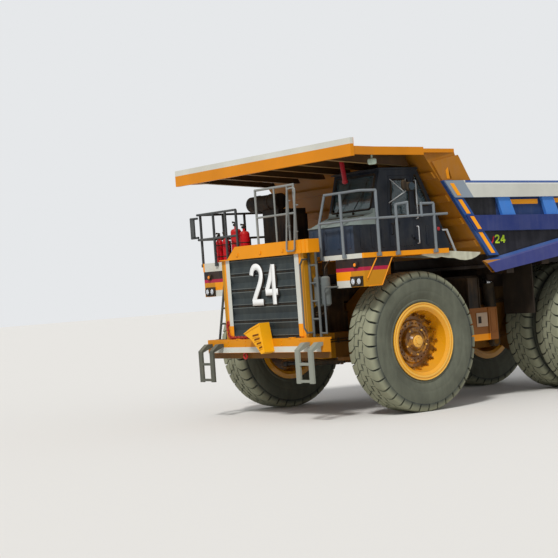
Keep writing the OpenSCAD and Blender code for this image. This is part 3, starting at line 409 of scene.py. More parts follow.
# A paler gold than the rims: the gold paint with painted highlights
painted("hub_gold_and_highlight", "#E8B040", dust=0.15, roughness=0.28, shine=0.5, chips=0.6)
painted("tube_enamel", "#45494C", rail_zones, dust=0.16, roughness=0.4, dust_card="#9A9A90", shine=0.4, mirrored=False)
painted("ladder_enamel", "#2E3133", ladder_zones, dust=0.25, roughness=0.5, dust_card="#8C8672", mirrored=False)
painted("pale_tube_enamel", "#5A5F5E", dust=0.25, roughness=0.4, dust_card="#8E8E80")
painted("bottle_enamel", "#B80E1C", dust=0.08, roughness=0.25, chips=0.2)
painted("chock_plastic", "#ECA60E", dust=0.10, chips=0.2, dust_card=OCHRE)
painted("chock_shadow", "#6E3C04", dust=0.20, chips=0.0, roughness=0.7, dust_card="#8A5A1C")
painted("black_plastic", "#17181A", dust=0.14, chips=0.0, roughness=0.6)
painted("cast_iron", "#2A2926", dust=0.3, chips=0.0, roughness=0.6)
painted("seat_vinyl", "#202124", dust=0.15, chips=0.0, roughness=0.55)
painted("dusty_rubber", "#A3A08C", dust=0.9, chips=0.0, roughness=0.8, dust_card="#CFCEB8", shine=0.1)
painted("flap_rubber", "#2A241E", dust=0.30, chips=0.0, roughness=0.8, dust_card="#5C4C3A")
painted("tyre_rubber", "#22272A", dust=0.36, chips=0.0, roughness=0.75, dust_card="#7E8270", worn_card="#93937A")
print("finishes", len(PAINTS))

# %% [markdown]
# The hydraulic rods are hard chrome over ground steel, and their eyes are iron castings, dark with grease and with
# painted shade. The panes are tinted laminated glass.

# %% Chrome and glass
# The eyes' dark card: grease and painted shade
SHADED_CASTING = "#2B2722"
# The rods' eyes in the side view: y, z and reach
HOIST_EYE, STEER_EYE = (aft(3.30), 2.50, 0.13), (aft(-0.38), 0.95, 0.14)


def chrome(name, eyes=(), card="#A9ABAC"):
    """Hard chrome: a metal with a low roughness, a little uneven where the oil film lies. Within each eye's reach of
    its middle (y, z) in the side view, it is a dark iron casting instead, which isn't metallic; its dark card is grease
    and painted shade."""
    tree, shader = new_finish(name, {"Base Color": linear(card), "Metallic": 1.0})
    place = add(tree, "TexCoord").outputs["Object"]
    film = add(tree, "TexNoise", {"Vector": place, "Scale": 14.0, "Detail": 3.0})
    rough = add(tree, "MapRange", {0: film, 3: 0.10, 4: 0.32})
    plain = None
    for y, z, reach in eyes:
        far = add(tree, "Math", {0: from_axis(tree, place, y, z), 1: reach}, operation="GREATER_THAN")
        plain = far if plain is None else add(tree, "Math", {0: plain, 1: far}, operation="MULTIPLY")
    if plain is not None:
        colour = add(tree, "Mix", {0: plain, 6: linear(SHADED_CASTING), 7: linear(card)}, data_type="RGBA").outputs[2]
        put(tree, colour, shader.inputs["Base Color"])
        put(tree, plain, shader.inputs["Metallic"])
        rough = add(tree, "Mix", {0: plain, 2: 0.6, 3: rough}, data_type="FLOAT")
    put(tree, rough, shader.inputs["Roughness"])


def pane(name, card, transmission):
    """Glass: see-through by its transmission, with dust that raises its roughness from 0.04 to 0.14 in patches."""
    tree, shader = new_finish(name, {"Base Color": linear(card), "Transmission Weight": transmission, "IOR": 1.5})
    place = add(tree, "TexCoord").outputs["Object"]
    film = add(tree, "TexNoise", {"Vector": place, "Scale": 3.0, "Detail": 2.0})
    rough = add(tree, "MapRange", {0: film, 1: 0.4, 2: 0.9, 3: 0.04, 4: 0.14})
    put(tree, rough, shader.inputs["Roughness"])


chrome("hard_chrome", [HOIST_EYE, STEER_EYE])
chrome("bright_chrome")
# The mirror's dark card is a painted reflection of dark surroundings
chrome("mirror_dark_reflection", card="#3C464C")
pane("window_glass", "#8CA4AA", 0.88)
pane("lamp_glass", "#E8ECF0", 0.5)

# %% [markdown]
# Every node of the model gets the finish of the real piece that it is.

# %% Finish of each node
FINISH_OF = {
    "hood_enamel": ["hood"],
    "deck_enamel": ["left_deck", "right_deck"],
    "frame_enamel": ["chassis_frame", "front_suspension", "rear_axle", "left_knuckle", "right_knuckle",
                     "tie_rod"],
    "tank_enamel": ["side_tanks"],
    "canopy_enamel": ["canopy"],
    "bumper_enamel": ["front_bumper"],
    "fender_enamel": ["fender_panels"],
    "grille_enamel": ["grille"],
    "cab_enamel": ["cab_shell", "cab_door"],
    "body_enamel": ["dump_body"],
    "underbody_shade_enamel": ["body_beams"],
    "front_rim_enamel": ["left_front_rim", "right_front_rim"],
    "rear_rim_enamel": ["left_rear_rims", "right_rear_rims"],
    "tube_enamel": ["handrails"],
    "ladder_enamel": ["ladders"],
    "pale_tube_enamel": ["air_tanks"],
    "bottle_enamel": ["extinguishers"],
    "chock_plastic": ["wheel_chock"],
    "black_plastic": ["air_cleaner"],
    "cast_iron": ["power_train", "left_hoist_barrel", "right_hoist_barrel", "left_steer_barrel",
                  "right_steer_barrel"],
    "seat_vinyl": ["cab_seat"],
    "dusty_rubber": ["fender_sheets"],
    "flap_rubber": ["mud_flaps"],
    "tyre_rubber": ["left_front_tyre", "right_front_tyre", "left_rear_tyres", "right_rear_tyres"],
    "hard_chrome": ["left_hoist_stage", "right_hoist_stage", "left_hoist_rod", "right_hoist_rod",
                    "left_steer_rod", "right_steer_rod"],
    "window_glass": ["cab_glass", "door_glass"],
    "lamp_glass": ["headlamps"],
}
for finish, names in FINISH_OF.items():
    for name in names:
        NODES[name].data.materials.clear()
        NODES[name].data.materials.append(PAINTS[finish])
dressed = [name for names in FINISH_OF.values() for name in names]
print("nodes with no finish:", sorted(set(NODES) - set(dressed)))

# %% [markdown]
# Each added piece is a surface worked out as whole arrays: a grid of points and the quads between neighbours, a
# flat outline carried from one side of a plate to the other, or a ring carried along a path. Blender could make
# the same shapes with its own tools one by one, but arrays keep every size in view. From here on y is measured
# behind the front axle, as on the drawing, and the piece function moves it into the frame.

# %% Grids, plates and tubes
SIDE_WAY = (0.13, 0.29, 0.95)


def circle(steps):
    """Angles at equal steps round a full turn."""
    return np.linspace(0, 2 * math.pi, steps, endpoint=False)


def ring_at(centre, reach, count, axis):
    """Points on a circle about the centre, in the plane across the axis."""
    points = np.tile(np.array(centre, float), (count, 1))
    first, second = [k for k in range(3) if k != axis]
    points[:, first] += reach * np.cos(circle(count))
    points[:, second] += reach * np.sin(circle(count))
    return points


def lattice(rows, columns, round_rows=False, round_columns=False):
    """Quads of a grid whose point (i, j) has index i * columns + j. A round direction joins its last to its first."""
    i, j = np.meshgrid(np.arange(rows if round_rows else rows - 1),
                       np.arange(columns if round_columns else columns - 1), indexing="ij")
    k, m = (i + 1) % rows, (j + 1) % columns
    return np.stack([i * columns + j, i * columns + m, k * columns + m, k * columns + j], -1).reshape(-1, 4).tolist()


def capped(rows, columns):
    """Quads of a grid that is round in its columns, closed by its first row and its last row as faces."""
    last = (rows - 1) * columns
    return lattice(rows, columns, round_columns=True) + [list(range(columns))[::-1], list(range(last, last + columns))]


def slab(outline, low, high, axis):
    """The outline, in the two other axes in the order x, y, z, stands at low and at high, with quads between."""
    flat = np.array(outline, float)
    nxt = np.roll(flat, -1, axis=0)
    turn = np.sum(flat[:, 0] * nxt[:, 1] - nxt[:, 0] * flat[:, 1])
    if (turn < 0) != (axis == 1):
        flat = flat[::-1]
    n = len(flat)
    points = np.zeros((2 * n, 3))
    points[:, [k for k in range(3) if k != axis]] = np.vstack([flat, flat])
    points[:, axis] = np.repeat([low, high], n)
    here = np.arange(n)
    there = (here + 1) % n
    sides = np.stack([here, there, there + n, here + n], 1).tolist()
    return points, sides + [here[::-1].tolist(), (here + n).tolist()]


def box(x, y, z):
    """A slab with a rectangular outline; x, y and z are pairs of low and high."""
    (x0, x1), (y0, y1) = x, y
    return slab([(x0, y0), (x1, y0), (x1, y1), (x0, y1)], *z, 2)


def curve(a, corner, b, steps):
    """A quadratic curve from a to b that leans towards the corner."""
    t = np.linspace(0, 1, steps)[:, None]
    return (1 - t) ** 2 * a + 2 * t * (1 - t) * corner + t ** 2 * b


def rounded(corners, radius):
    """A path through the corners, each corner cut back by the radius and bent as a quadratic curve."""
    corners = np.array(corners, float)
    path = [corners[:1]]
    for before, corner, after in zip(corners[:-2], corners[1:-1], corners[2:]):
        a, b = (corner + (end - corner) * min(0.48, radius / np.linalg.norm(end - corner)) for end in (before, after))
        path.append(curve(a, corner, b, 6))
    return np.vstack([*path, corners[-1:]])


def rings(path, along, radius, sides, side_way):
    """A circle of points round each path point, in the plane across the direction there."""
    side = unit(np.cross(along, side_way))
    up = np.cross(unit(along), side)
    turn = circle(sides)[:, None]
    return (path[:, None] + radius * (np.cos(turn) * side[:, None] + np.sin(turn) * up[:, None])).reshape(-1, 3)


def tube(path, radius, sides=10, side_way=SIDE_WAY):
    """A circle carried along a path and closed at both ends."""
    path = np.array(path, float)
    return rings(path, np.gradient(path, axis=0), radius, sides, side_way), capped(len(path), sides)


def hoop(corners, radius, bend=0.05, sides=8, steps=5, side_way=SIDE_WAY):
    """A tube that closes on itself. Every corner is cut back by the bend and follows a quadratic curve."""
    corners = np.array(corners, float)
    ends = []
    for way in (1, -1):
        apart = np.roll(corners, way, axis=0) - corners
        ends.append(corners + unit(apart) * np.minimum(bend, 0.45 * np.linalg.norm(apart, axis=1)[:, None]))
    path = curve(ends[0][:, None], corners[:, None], ends[1][:, None], steps).reshape(-1, 3)
    along = np.roll(path, -1, axis=0) - np.roll(path, 1, axis=0)
    return (rings(path, along, radius, sides, side_way),
            lattice(len(path), sides, round_rows=True, round_columns=True))


def lathe(section, centre, axis, steps, out=1.0):
    """Each section row (distance along the axis, radius) is a circle; out = -1 turns the distances round. A section
    that touches the axis is closed by a fan at both ends, and any other one joins its last circle to its first."""
    section = np.array(section, float)
    outer = section[section[:, 1] > 0]
    points = np.zeros((len(outer), steps, 3))
    first, second = [k for k in range(3) if k != axis]
    points[..., axis] = out * outer[:, 0, None]
    points[..., first] = outer[:, 1, None] * np.cos(circle(steps))
    points[..., second] = outer[:, 1, None] * np.sin(circle(steps))
    points = points.reshape(-1, 3)
    solid = len(outer) < len(section)
    faces = lattice(len(outer), steps, round_rows=not solid, round_columns=True)
    if solid:
        poles = np.zeros((2, 3))
        poles[:, axis] = out * section[[0, -1], 0]
        here = np.arange(steps)
        there, top, pole = (here + 1) % steps, len(points) - steps, np.full(steps, len(points))
        faces += np.stack([pole, there, here], 1).tolist()
        faces += np.stack([top + here, top + there, pole + 1], 1).tolist()
        points = np.vstack([points, poles])
    if (out < 0) != (axis == 1):
        faces = [face[::-1] for face in faces]
    return points + np.array(centre, float), faces


def studs(places, way, radius, height):
    """Hexagon heads: three rings at 0, 0.8 and 1 of the height, the last one narrower, closed at both ends."""
    sides, count, way = 6, len(places), unit(way)
    rise = np.array([0, 0.8, 1.0])[:, None] * height * way
    centres = (np.array(places, float)[:, None] + rise).reshape(-1, 3)
    reach = np.tile(np.array([1, 1, 0.72]) * radius, count)[:, None, None]
    points = rings(centres, np.broadcast_to(way, centres.shape), reach, sides, (0.31, 0.87, 0.38))
    first = 3 * sides * np.arange(count)[:, None]
    one = np.array(lattice(3, sides, round_columns=True))
    faces = (one[None] + first[:, None]).reshape(-1, 4).tolist()
    return points, (faces + (first + 2 * sides + np.arange(sides)).tolist()
                    + (first + np.arange(sides)[::-1]).tolist())


def gather(*parts):
    """Several (points, faces) as one, each part's face numbers moved past the points before it."""
    points, faces, start = [], [], 0
    for some_points, some_faces in parts:
        points.append(some_points)
        faces += [[k + start for k in face] for face in some_faces]
        start += len(some_points)
    return np.vstack(points), faces


def across(part):
    """The same part on the other side: x changes sign, and the faces turn round to point outwards again."""
    points, faces = part
    return points * np.array([-1.0, 1.0, 1.0]), [face[::-1] for face in faces]


def both(part):
    """The part on the left side and again on the right."""
    return gather(part, across(part))


def run_of(path):
    """The length along the path, up to each of its points."""
    return np.concatenate([[0], np.cumsum(np.linalg.norm(np.diff(path, axis=0), axis=1))])


def at_lengths(path, lengths):
    """The points on a path at the given lengths along it."""
    path = np.array(path, float)
    return np.stack([np.interp(lengths, run_of(path), path[:, c]) for c in range(path.shape[1])], -1)


def piece(name, part, paint, body, sharp=32.0, bevel=0.0):
    """Moves the points into the frame and puts them into a mesh, with its finish, the body it rides on and its
    material slot."""
    points, faces = part
    mesh = bpy.data.meshes.new(name)
    mesh.from_pydata((points + (0.0, FRONT_AXLE, 0.0)).tolist(), [], faces)
    mesh.materials.append(PAINTS[paint])
    mesh.polygons.foreach_set("use_smooth", np.full(len(mesh.polygons), not bevel))
    mesh.set_sharp_from_angle(angle=math.radians(sharp))
    made = show(name, mesh)
    if bevel:
        edge = made.modifiers.new("worn_edge", "BEVEL")
        edge.width, edge.segments, edge.limit_method, edge.angle_limit = bevel, 2, "ANGLE", math.radians(40)
    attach(made, body)
    print(name, len(points), "points,", len(faces), "faces")
    return made


# %% [markdown]
# A rock tyre is rubber moulded in steel plates. Its tread has thick shoulder blocks between scooped grooves about 50 mm
# deep, and two narrow zigzag grooves between them. A texture could fake this, but its edge shows against the sky, so
# the grooves are real. The trick is to bend the grid, so that its rows and columns lie along the grooves, and then to
# sink the points on a groove's floor. An attribute for the paint is 1 on the block tops, where the rubber is worn pale,
# and 0 on the groove floors, which keep the dark rubber card as painted shade.

# %% Tyres with a carved tread
PITCHES = 36
PITCH = 2 * math.pi / PITCHES
GROOVE_DEPTH, ZIGZAG_DEPTH, ZIGZAG_SWAY = 0.050, 0.034, 0.034
GROOVE = np.array([-0.085, -0.05, 0.0, 0.05, 0.085])
COLUMNS = np.concatenate([GROOVE, [0.29, 0.5, 0.71]])
# Outer half of the section, bead to middle: width, radius, share of the groove, way in which it sinks
SECTION = np.array([
    (0.250, 0.6235, 0, 0, -1), (0.270, 0.684, 0, 0, -1), (0.300, 0.746, 0, 0, -1), (0.317, 0.760, 0, 0, -1),
    (0.321, 0.786, 0, 0, -1), (0.311, 0.802, 0, 0, -1), (0.330, 0.850, 0, 0, -1), (0.352, 0.905, 0, 0, -1),
    (0.3625, 0.956, 0, 0, -1), (0.3620, 0.964, 0, 0, -1), (0.3668, 0.972, 0, 0, -1), (0.3698, 1.030, 0, 0, -1),
    (0.3700, 1.095, 0, 0, -1), (0.3665, 1.150, 0, 0, -1), (0.3610, 1.178, 0, 0, -1), (0.3590, 1.184, 0, 0, -1),
    (0.3625, 1.196, 0, -1, 0), (0.3600, 1.222, 0.25, -1, -0.2), (0.3500, 1.262, 0.7, -1, -0.6),
    (0.3320, 1.300, 1, -0.7, -1), (0.3160, 1.322, 1, -0.4, -1), (0.2950, 1.335, 1, -0.2, -1),
    (0.2680, 1.341, 1, 0, -1), (0.2200, 1.344, 1, 0, -1), (0.1750, 1.345, 0.8, 0, -1),
    (0.1330, 1.345, 0.5, 0, -1), (0.1250, 1.345, 0.5, 0, -1), (0.1130, 1.345, 0.5, 0, -1),
    (0.1050, 1.345, 0.5, 0, -1), (0.0600, 1.345, 0.45, 0, -1), (0.0150, 1.345, 0.45, 0, -1),
    (0.0070, 1.345, 0.45, 0, -1)])
ZIGZAG_ROWS = np.isin(np.round(SECTION[:, 0], 4), [0.1250, 0.1130, 0.0070])
INSIDE = np.array([(0.170, 0.6235), (0.200, 0.725), (0.290, 0.960), (0.270, 1.170), (0.120, 1.205)])


def tyre(centre_x, centre_y):
    """Point = (centre + width, radius * cos, radius * sin). The turn is pitch * (column + bend), where the bend is
    0.55 * (1 - t)^2 and t grows from the zigzag to the shoulder. Radius and width sink by the groove's depth
    * groove share on the groove's columns, and by the zigzag's depth on its rows."""
    rows = np.concatenate([SECTION, SECTION[::-1]])
    width = np.concatenate([SECTION[:, 0], -SECTION[::-1, 0]])
    inward, reach = np.sign(width)[:, None], np.abs(width)
    zigzag_row = np.concatenate([ZIGZAG_ROWS, ZIGZAG_ROWS[::-1]])[:, None]
    column = (np.arange(PITCHES)[:, None] + COLUMNS[None]).ravel()
    in_groove = np.tile(np.arange(len(COLUMNS)) < len(GROOVE), PITCHES)
    on_floor = np.tile(np.isin(np.arange(len(COLUMNS)), [1, 2, 3]), PITCHES)
    bend = 0.55 * (1 - np.clip((reach - 0.10) / 0.19, 0, 1)) ** 2
    narrow = np.interp(reach, [0.0, 0.13, 0.22, 0.37], [0.35, 0.42, 0.9, 1.15])
    slot = np.round(column)
    shifted = np.where(in_groove[None], slot[None] + (column - slot)[None] * narrow[:, None], column[None])
    turn = (shifted + bend[:, None] + 0.5 * (inward < 0)) * PITCH
    wave = 2 * np.abs((column + 0.25) % 1 - 0.5) - 0.5
    sway = ZIGZAG_SWAY * wave[None] * np.clip((0.19 - reach) / 0.06, 0, 1)[:, None]
    sink = np.maximum(GROOVE_DEPTH * rows[:, 2, None] * on_floor[None], ZIGZAG_DEPTH * zigzag_row)
    radius = rows[:, 1, None] + sink * rows[:, 4, None]
    lateral = width[:, None] + sway + sink * rows[:, 3, None] * inward
    wear_and_groove_shade = np.where(rows[:, 1, None] < 1.19, 0.30, np.clip((rows[:, 1, None] - 1.20) / 0.10, 0, 1))
    # Groove floors get 0, so they keep the dark rubber card: painted shade in the grooves
    wear_and_groove_shade = wear_and_groove_shade * (1 - np.clip(sink / 0.02, 0, 1))
    # The inner wall, from bead to bead
    inner_width, inner_radius = (np.concatenate([sign * INSIDE[:, k], INSIDE[::-1, k]])[:, None]
                                 for k, sign in ((0, -1), (1, 1)))
    plain = column[None] * PITCH + 0 * inner_width
    turn, radius = np.vstack([turn, plain]), np.vstack([radius, inner_radius + 0 * plain])
    lateral, wear_and_groove_shade = np.vstack([lateral, inner_width + 0 * plain]), np.vstack([wear_and_groove_shade, 0 * plain])
    points = np.stack([centre_x + lateral, centre_y + radius * np.sin(turn), AXLE_Z + radius * np.cos(turn)], -1)
    faces = lattice(*turn.shape, round_rows=True, round_columns=True)
    return (points.reshape(-1, 3), faces), wear_and_groove_shade.ravel()


def fit_tyre(name, node, body, centres, centre_y):
    """One piece for the tyres of a wheel body, with the paint's attribute, in the place of the node."""
    made = [tyre(x, centre_y) for x in centres]
    laid = piece(name, gather(*[part for part, wear_and_groove_shade in made]), "tyre_rubber", body, sharp=38)
    layer = laid.data.attributes.new("wear_and_groove_shade", "FLOAT", "POINT")
    layer.data.foreach_set("value", np.concatenate([wear_and_groove_shade for part, wear_and_groove_shade in made]).astype(np.float32))
    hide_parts(node)


for side, sign in SIDES:
    fit_tyre(f"{side}_front_rock_tyre", f"{side}_front_tyre", f"{side}_front_wheel", [sign * FRONT_WHEEL_X], 0.0)
    fit_tyre(f"{side}_rear_rock_tyres", f"{side}_rear_tyres", f"{side}_rear_wheels",
             [sign * x for x in REAR_WHEELS_X], WHEELBASE)

# %% [markdown]
# A wheel of this size is built up: a rolled rim base, a loose flange and lock ring on the outside, and a cast hub
# with wedge clamps that hold the rim. The frame has the rolled section. The clamps, studs, hub caps and the lock
# ring's edge are added, as rings of repeated heads round the axle, since a bump map would be flat at the edge.

# %% Wheel clamps, studs and lock rings
CLAMPS, CLAMP_REACH = 18, 0.545
# Heads: how far out of the disc, reach from the axle, count, first angle, radius, height
RIM_HEADS = ((0.045, 0.535, CLAMPS, math.pi / 18, 0.021, 0.050), (0.030, 0.352, 24, 0.0, 0.015, 0.026))
HUB_HEADS = ((0.172, 0.086, 6, 0.0, 0.011, 0.014), (0.106, 0.252, 5, 0.6, 0.020, 0.024))
RIBBED_CAP = [(0.09, 0.275), (0.104, 0.272), (0.108, 0.262), (0.108, 0.235), (0.100, 0.230)]
HUB_CAP = [(0.148, 0.0), (0.148, 0.118), (0.162, 0.118), (0.172, 0.104), (0.174, 0.060), (0.192, 0.056), (0.196, 0.0)]
ROLLED_EDGE = [(0.326, 0.742), (0.336, 0.743), (0.341, 0.737), (0.341, 0.724), (0.336, 0.718), (0.326, 0.718)]
LOCK_RING = [(0.329, 0.696), (0.338, 0.694), (0.341, 0.680), (0.338, 0.660), (0.329, 0.656)]


def ring_of(x, y, reach, count, start=0.0):
    """Places on a circle round the axle: angle = start + turn * k / count."""
    turn = start + circle(count)
    return np.stack([np.full(count, x), y + reach * np.sin(turn), AXLE_Z + reach * np.cos(turn)], 1)


def clamps(centre_x, centre_y, out):
    """A wedge clamp is a short block against the rim's step; each is one box turned about the axle."""
    turn = circle(CLAMPS) + math.pi / CLAMPS
    block = np.array([(a, b, c) for a in (0.0, 0.055) for b in (-0.034, 0.034) for c in (-0.055, 0.018)])
    block[[5, 7], 0] -= 0.030
    local = block[None] + np.array([0, 0, CLAMP_REACH])
    points = np.empty((CLAMPS, 8, 3))
    points[..., 0] = centre_x + out * local[..., 0]
    points[..., 1] = centre_y + local[..., 1] * np.cos(turn)[:, None] + local[..., 2] * np.sin(turn)[:, None]
    points[..., 2] = AXLE_Z - local[..., 1] * np.sin(turn)[:, None] + local[..., 2] * np.cos(turn)[:, None]
    one = np.array([(0, 1, 3, 2), (4, 6, 7, 5), (0, 4, 5, 1), (2, 3, 7, 6), (0, 2, 6, 4), (1, 5, 7, 3)])
    faces = (one[None] + 8 * np.arange(CLAMPS)[:, None, None]).reshape(-1, 4)
    return points.reshape(-1, 3), (faces if out > 0 else faces[:, ::-1]).tolist()


def heads(rows, face, centre_y, out):
    """One ring of studs for each row of a table."""
    return [studs(ring_of(face + out * lift, centre_y, reach, count, start), (out, 0, 0), radius, height)
            for lift, reach, count, start, radius, height in rows]


def wheel_fittings(name, body, centre_x, centre_y, dish, out, hub_reach, paint):
    """Clamps and studs on the disc at dish, studs on the hub's face and a ribbed cap."""
    face = centre_x + out * dish
    rows = (*RIM_HEADS, (0.150, hub_reach, 8, 0.2, 0.012, 0.014))
    parts = [clamps(face, centre_y, out), *heads(rows, face, centre_y, out),
             lathe(RIBBED_CAP, (face, centre_y, AXLE_Z), 0, 48, out)]
    piece(name, gather(*parts), paint, body)


def hub_and_lock_ring(name, body, centre_x, centre_y, dish, out):
    """A stepped cap with its plug and bolts on the hub, and on the rim's face the rolled edge and the lock ring."""
    face = centre_x + out * dish
    parts = [lathe(HUB_CAP, (face, centre_y, AXLE_Z), 0, 32, out),
             *[lathe(section, (centre_x, centre_y, AXLE_Z), 0, 96, out) for section in (ROLLED_EDGE, LOCK_RING)],
             *heads(HUB_HEADS, face, centre_y, out)]
    piece(name, gather(*parts), "hub_gold_and_highlight", body)


for side, sign in SIDES:
    front, rear = (sign * FRONT_WHEEL_X, 0.0, 0.0, sign), (sign * REAR_WHEELS_X[1], WHEELBASE, -0.100, sign)
    wheel_fittings(f"{side}_front_wheel_studs", f"{side}_front_wheel", *front, 0.205, "front_rim_enamel")
    wheel_fittings(f"{side}_rear_wheel_studs", f"{side}_rear_wheels", *rear, 0.225, "rear_rim_enamel")
    hub_and_lock_ring(f"{side}_front_hub", f"{side}_front_wheel", *front)
    hub_and_lock_ring(f"{side}_rear_hub", f"{side}_rear_wheels", *rear)

# %% [markdown]
# The fleet number on the grille is cut from sheet and held on the crests of the louvres, so that it reads as one
# flat figure over the folds. The side number is paint. Both are ribbons: a path down the middle of each stroke and
# rows of points on both sides of it. A dark sheet behind the white one gives the number its shaded edge.

# %% Numbers
NUMBER = "24"
LOUVRE_CREST, BODY_SIDE = -1.900, 2.650
SIDE_NUMBER_Y, SIDE_LIFT = 2.0, 0.004
# How thick the ribbons are, and how far one stroke lies over the last
FILM, STEP = 0.003, 0.0007
STROKES = {
    "2": [[(0.02, 0.76), (0.05, 0.90), (0.17, 0.98), (0.34, 0.99), (0.49, 0.92), (0.55, 0.79), (0.52, 0.65),
           (0.41, 0.49), (0.23, 0.29), (0.06, 0.08)], [(0.0, 0.07), (0.58, 0.07)]],
    "4": [[(0.42, 0.98), (0.30, 0.74), (0.17, 0.52), (0.04, 0.34)], [(-0.02, 0.31), (0.62, 0.31)],
          [(0.43, 1.0), (0.43, 0.0)]],
}


def ribbon(corners, half, steps=60):
    """Points along the corners at equal steps, smoothed by a mean over 11 of them. Each becomes a row of three: the
    point itself and one on both sides of it at half the ribbon's width."""
    flat = at_lengths(corners, np.linspace(0, run_of(np.array(corners, float))[-1], steps))
    middle = np.stack([np.convolve(np.pad(flat[:, k], 5, "reflect", reflect_type="odd"), np.ones(11) / 11, "valid")
                       for k in (0, 1)], 1)
    along = unit(np.gradient(middle, axis=0))
    side = np.stack([-along[:, 1], along[:, 0]], 1)
    reach = np.array([-half, 0.0, half])[:, None]
    return (middle[:, None] + reach * side[:, None]).reshape(-1, 2), [face[::-1] for face in lattice(steps, 3)]


def number_on(left, low, wide, tall, pitch, half, place):
    """Each digit's strokes, scaled to wide x tall and set in a row; place turns (across, up) into points. Each
    stroke lies one step over the last, so that no two faces coincide."""
    parts = []
    for k, digit in enumerate(NUMBER):
        for n, stroke in enumerate(STROKES[digit]):
            points, faces = ribbon(np.array(stroke) * (wide, tall) + (left + k * pitch, low), half)
            parts.append((place(points, STEP * n), faces))
    return gather(*parts)


def on_louvres(lift):
    """Turns (across, up) into points that stand before the louvres' crests by the lift."""
    return lambda flat, more: np.stack([flat[:, 0], np.full(len(flat), LOUVRE_CREST - lift - more), flat[:, 1]], 1)


def on_side(sign):
    """On the body's side plate: read from outside, the number runs backwards on +X and forwards on -X."""
    return lambda flat, more: np.stack([np.full(len(flat), sign * (BODY_SIDE + SIDE_LIFT + more)),
                                        SIDE_NUMBER_Y + sign * flat[:, 0], flat[:, 1]], 1)


def painted_on(name, part, finish, body):
    """A ribbon gets its thickness inwards, so that it closes against the plate."""
    wall = piece(name, part, finish, body).modifiers.new("paint_film", "SOLIDIFY")
    wall.thickness, wall.offset = FILM, -1.0


painted("number_white", "#E9EAE8", dust=0.10, chips=0.3)
painted("number_edge", "#101113", dust=0.10, chips=0.0)
painted("number_lime", "#B9D832", dust=0.08, chips=0.2)
painted("number_red", "#C41230", dust=0.08, chips=0.2)
painted("reflector_orange", "#F6A013", dust=0.06, chips=0.0, roughness=0.3)
painted_on("grille_number_edge", number_on(-0.330, 2.220, 0.64, 0.78, 0.48, 0.066, on_louvres(0.003)),
           "number_edge", "chassis")
painted_on("grille_number", number_on(-0.375, 2.245, 0.64, 0.78, 0.48, 0.062, on_louvres(0.009)),
           "number_white", "chassis")
for side, sign in SIDES:
    painted_on(f"{side}_side_number", number_on(-0.10, 3.13, 0.20, 0.155, 0.15, 0.016, on_side(sign)),
               "number_lime", "dump_bed")
    tick, faces = ribbon([(-0.24, 3.10), (-0.17, 3.16), (-0.13, 3.27)], 0.018, 30)
    painted_on(f"{side}_side_mark", (on_side(sign)(tick, 0), faces), "number_red", "dump_bed")

# %% [markdown]
# Long reflectors are stuck along the sloping front corner of the body, one on each face that the corner crosses,
# and orange bars under the top rail. They are thin plates with a worn edge, 6 mm proud.

# %% Reflectors and bars on the body
PROUD, REFLECTOR_WIDE = 0.006, 0.10


def slope_y(z):
    """The y of the body's front edge at a height."""
    return CORNER_Y - LEAN * (z - CORNER_Z)


def slope_plate(x, z0, z1, start):
    """A thin plate along the front edge, between two heights."""
    end = start + REFLECTOR_WIDE
    return slab([(slope_y(z) + back, z) for z, back in ((z0, start), (z0, end), (z1, end), (z1, start))],
                x, x + PROUD, 0)


reflectors = [slope_plate(2.765, 4.085, 4.325, 0.105), slope_plate(2.735, 3.73, 4.01, 0.085),
              slope_plate(2.765, 3.42, 3.675, 0.095), slope_plate(2.735, 2.94, 3.36, 0.085)]
bars = [slab([(y + k * BAY, z) for y, z in ((2.37, 3.89), (3.15, 3.88), (3.15, 3.975), (2.37, 3.985))],
             BODY_SIDE, BODY_SIDE + PROUD, 0) for k in range(4)]
piece("body_reflectors", both(gather(*reflectors, *bars)), "reflector_orange", "dump_bed", bevel=0.002)

# %% [markdown]
# The headlamps sit in moulded rubber boxes in the fender panels. Each one is a bowl, a lens in front of it and a
# ring, all turned on a lathe profile. The lens is pressed glass, so the bowl is seen through it.

# %% Lamps
LAMP_FACE = -1.503


def lamp(x, z, reach):
    """A ring, a shallow bowl in it and a domed lens before it, all turned round a fore-and-aft axis."""
    ring = [(0.0, reach + 0.012), (0.040, reach + 0.012), (0.046, reach + 0.004), (0.044, reach - 0.006),
            (0.022, reach - 0.010), (0.0, reach - 0.012)]
    bowl = [(0.0195, 0.0), (0.0195, reach - 0.013), (0.034, reach - 0.011), (0.027, reach - 0.018),
            (0.022, reach * 0.5), (0.0205, 0.0)]
    lens = [(0.034, 0.0), (0.034, reach - 0.011), (0.040, reach - 0.018), (0.046, reach * 0.62), (0.050, reach * 0.3),
            (0.051, 0.0)]
    return [lathe(profile, (x, LAMP_FACE, z), 1, 32, -1.0) for profile in (ring, bowl, lens)]


lamps = [lamp(2.385, 2.575, 0.068), lamp(2.560, 2.575, 0.068), lamp(2.470, 2.880, 0.048)]
lamp_rings, lamp_bowls, lamp_domes = zip(*lamps)
painted("marker_orange", "#F08A10", dust=0.04, chips=0.0, roughness=0.2, shine=0.5)
boxes = [box((2.292, 2.653), (-1.522, -1.501), (2.482, 2.668)), box((2.405, 2.535), (-1.514, -1.501), (2.820, 2.940))]
piece("lamp_boxes", both(gather(*boxes, *lamp_rings)), "black_plastic", "chassis", bevel=0.004)
piece("lamp_bowls", both(gather(*lamp_bowls)), "bright_chrome", "chassis")
lenses = piece("lamp_lenses", both(gather(*lamp_domes[:2])), "lamp_glass", "chassis")
piece("marker_lenses", both(lamp_domes[2]), "marker_orange", "chassis")
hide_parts("headlamps")

# %% [markdown]
# Moulded housings and cushions are rounded blocks: a globe whose circles are pushed out towards their corners.

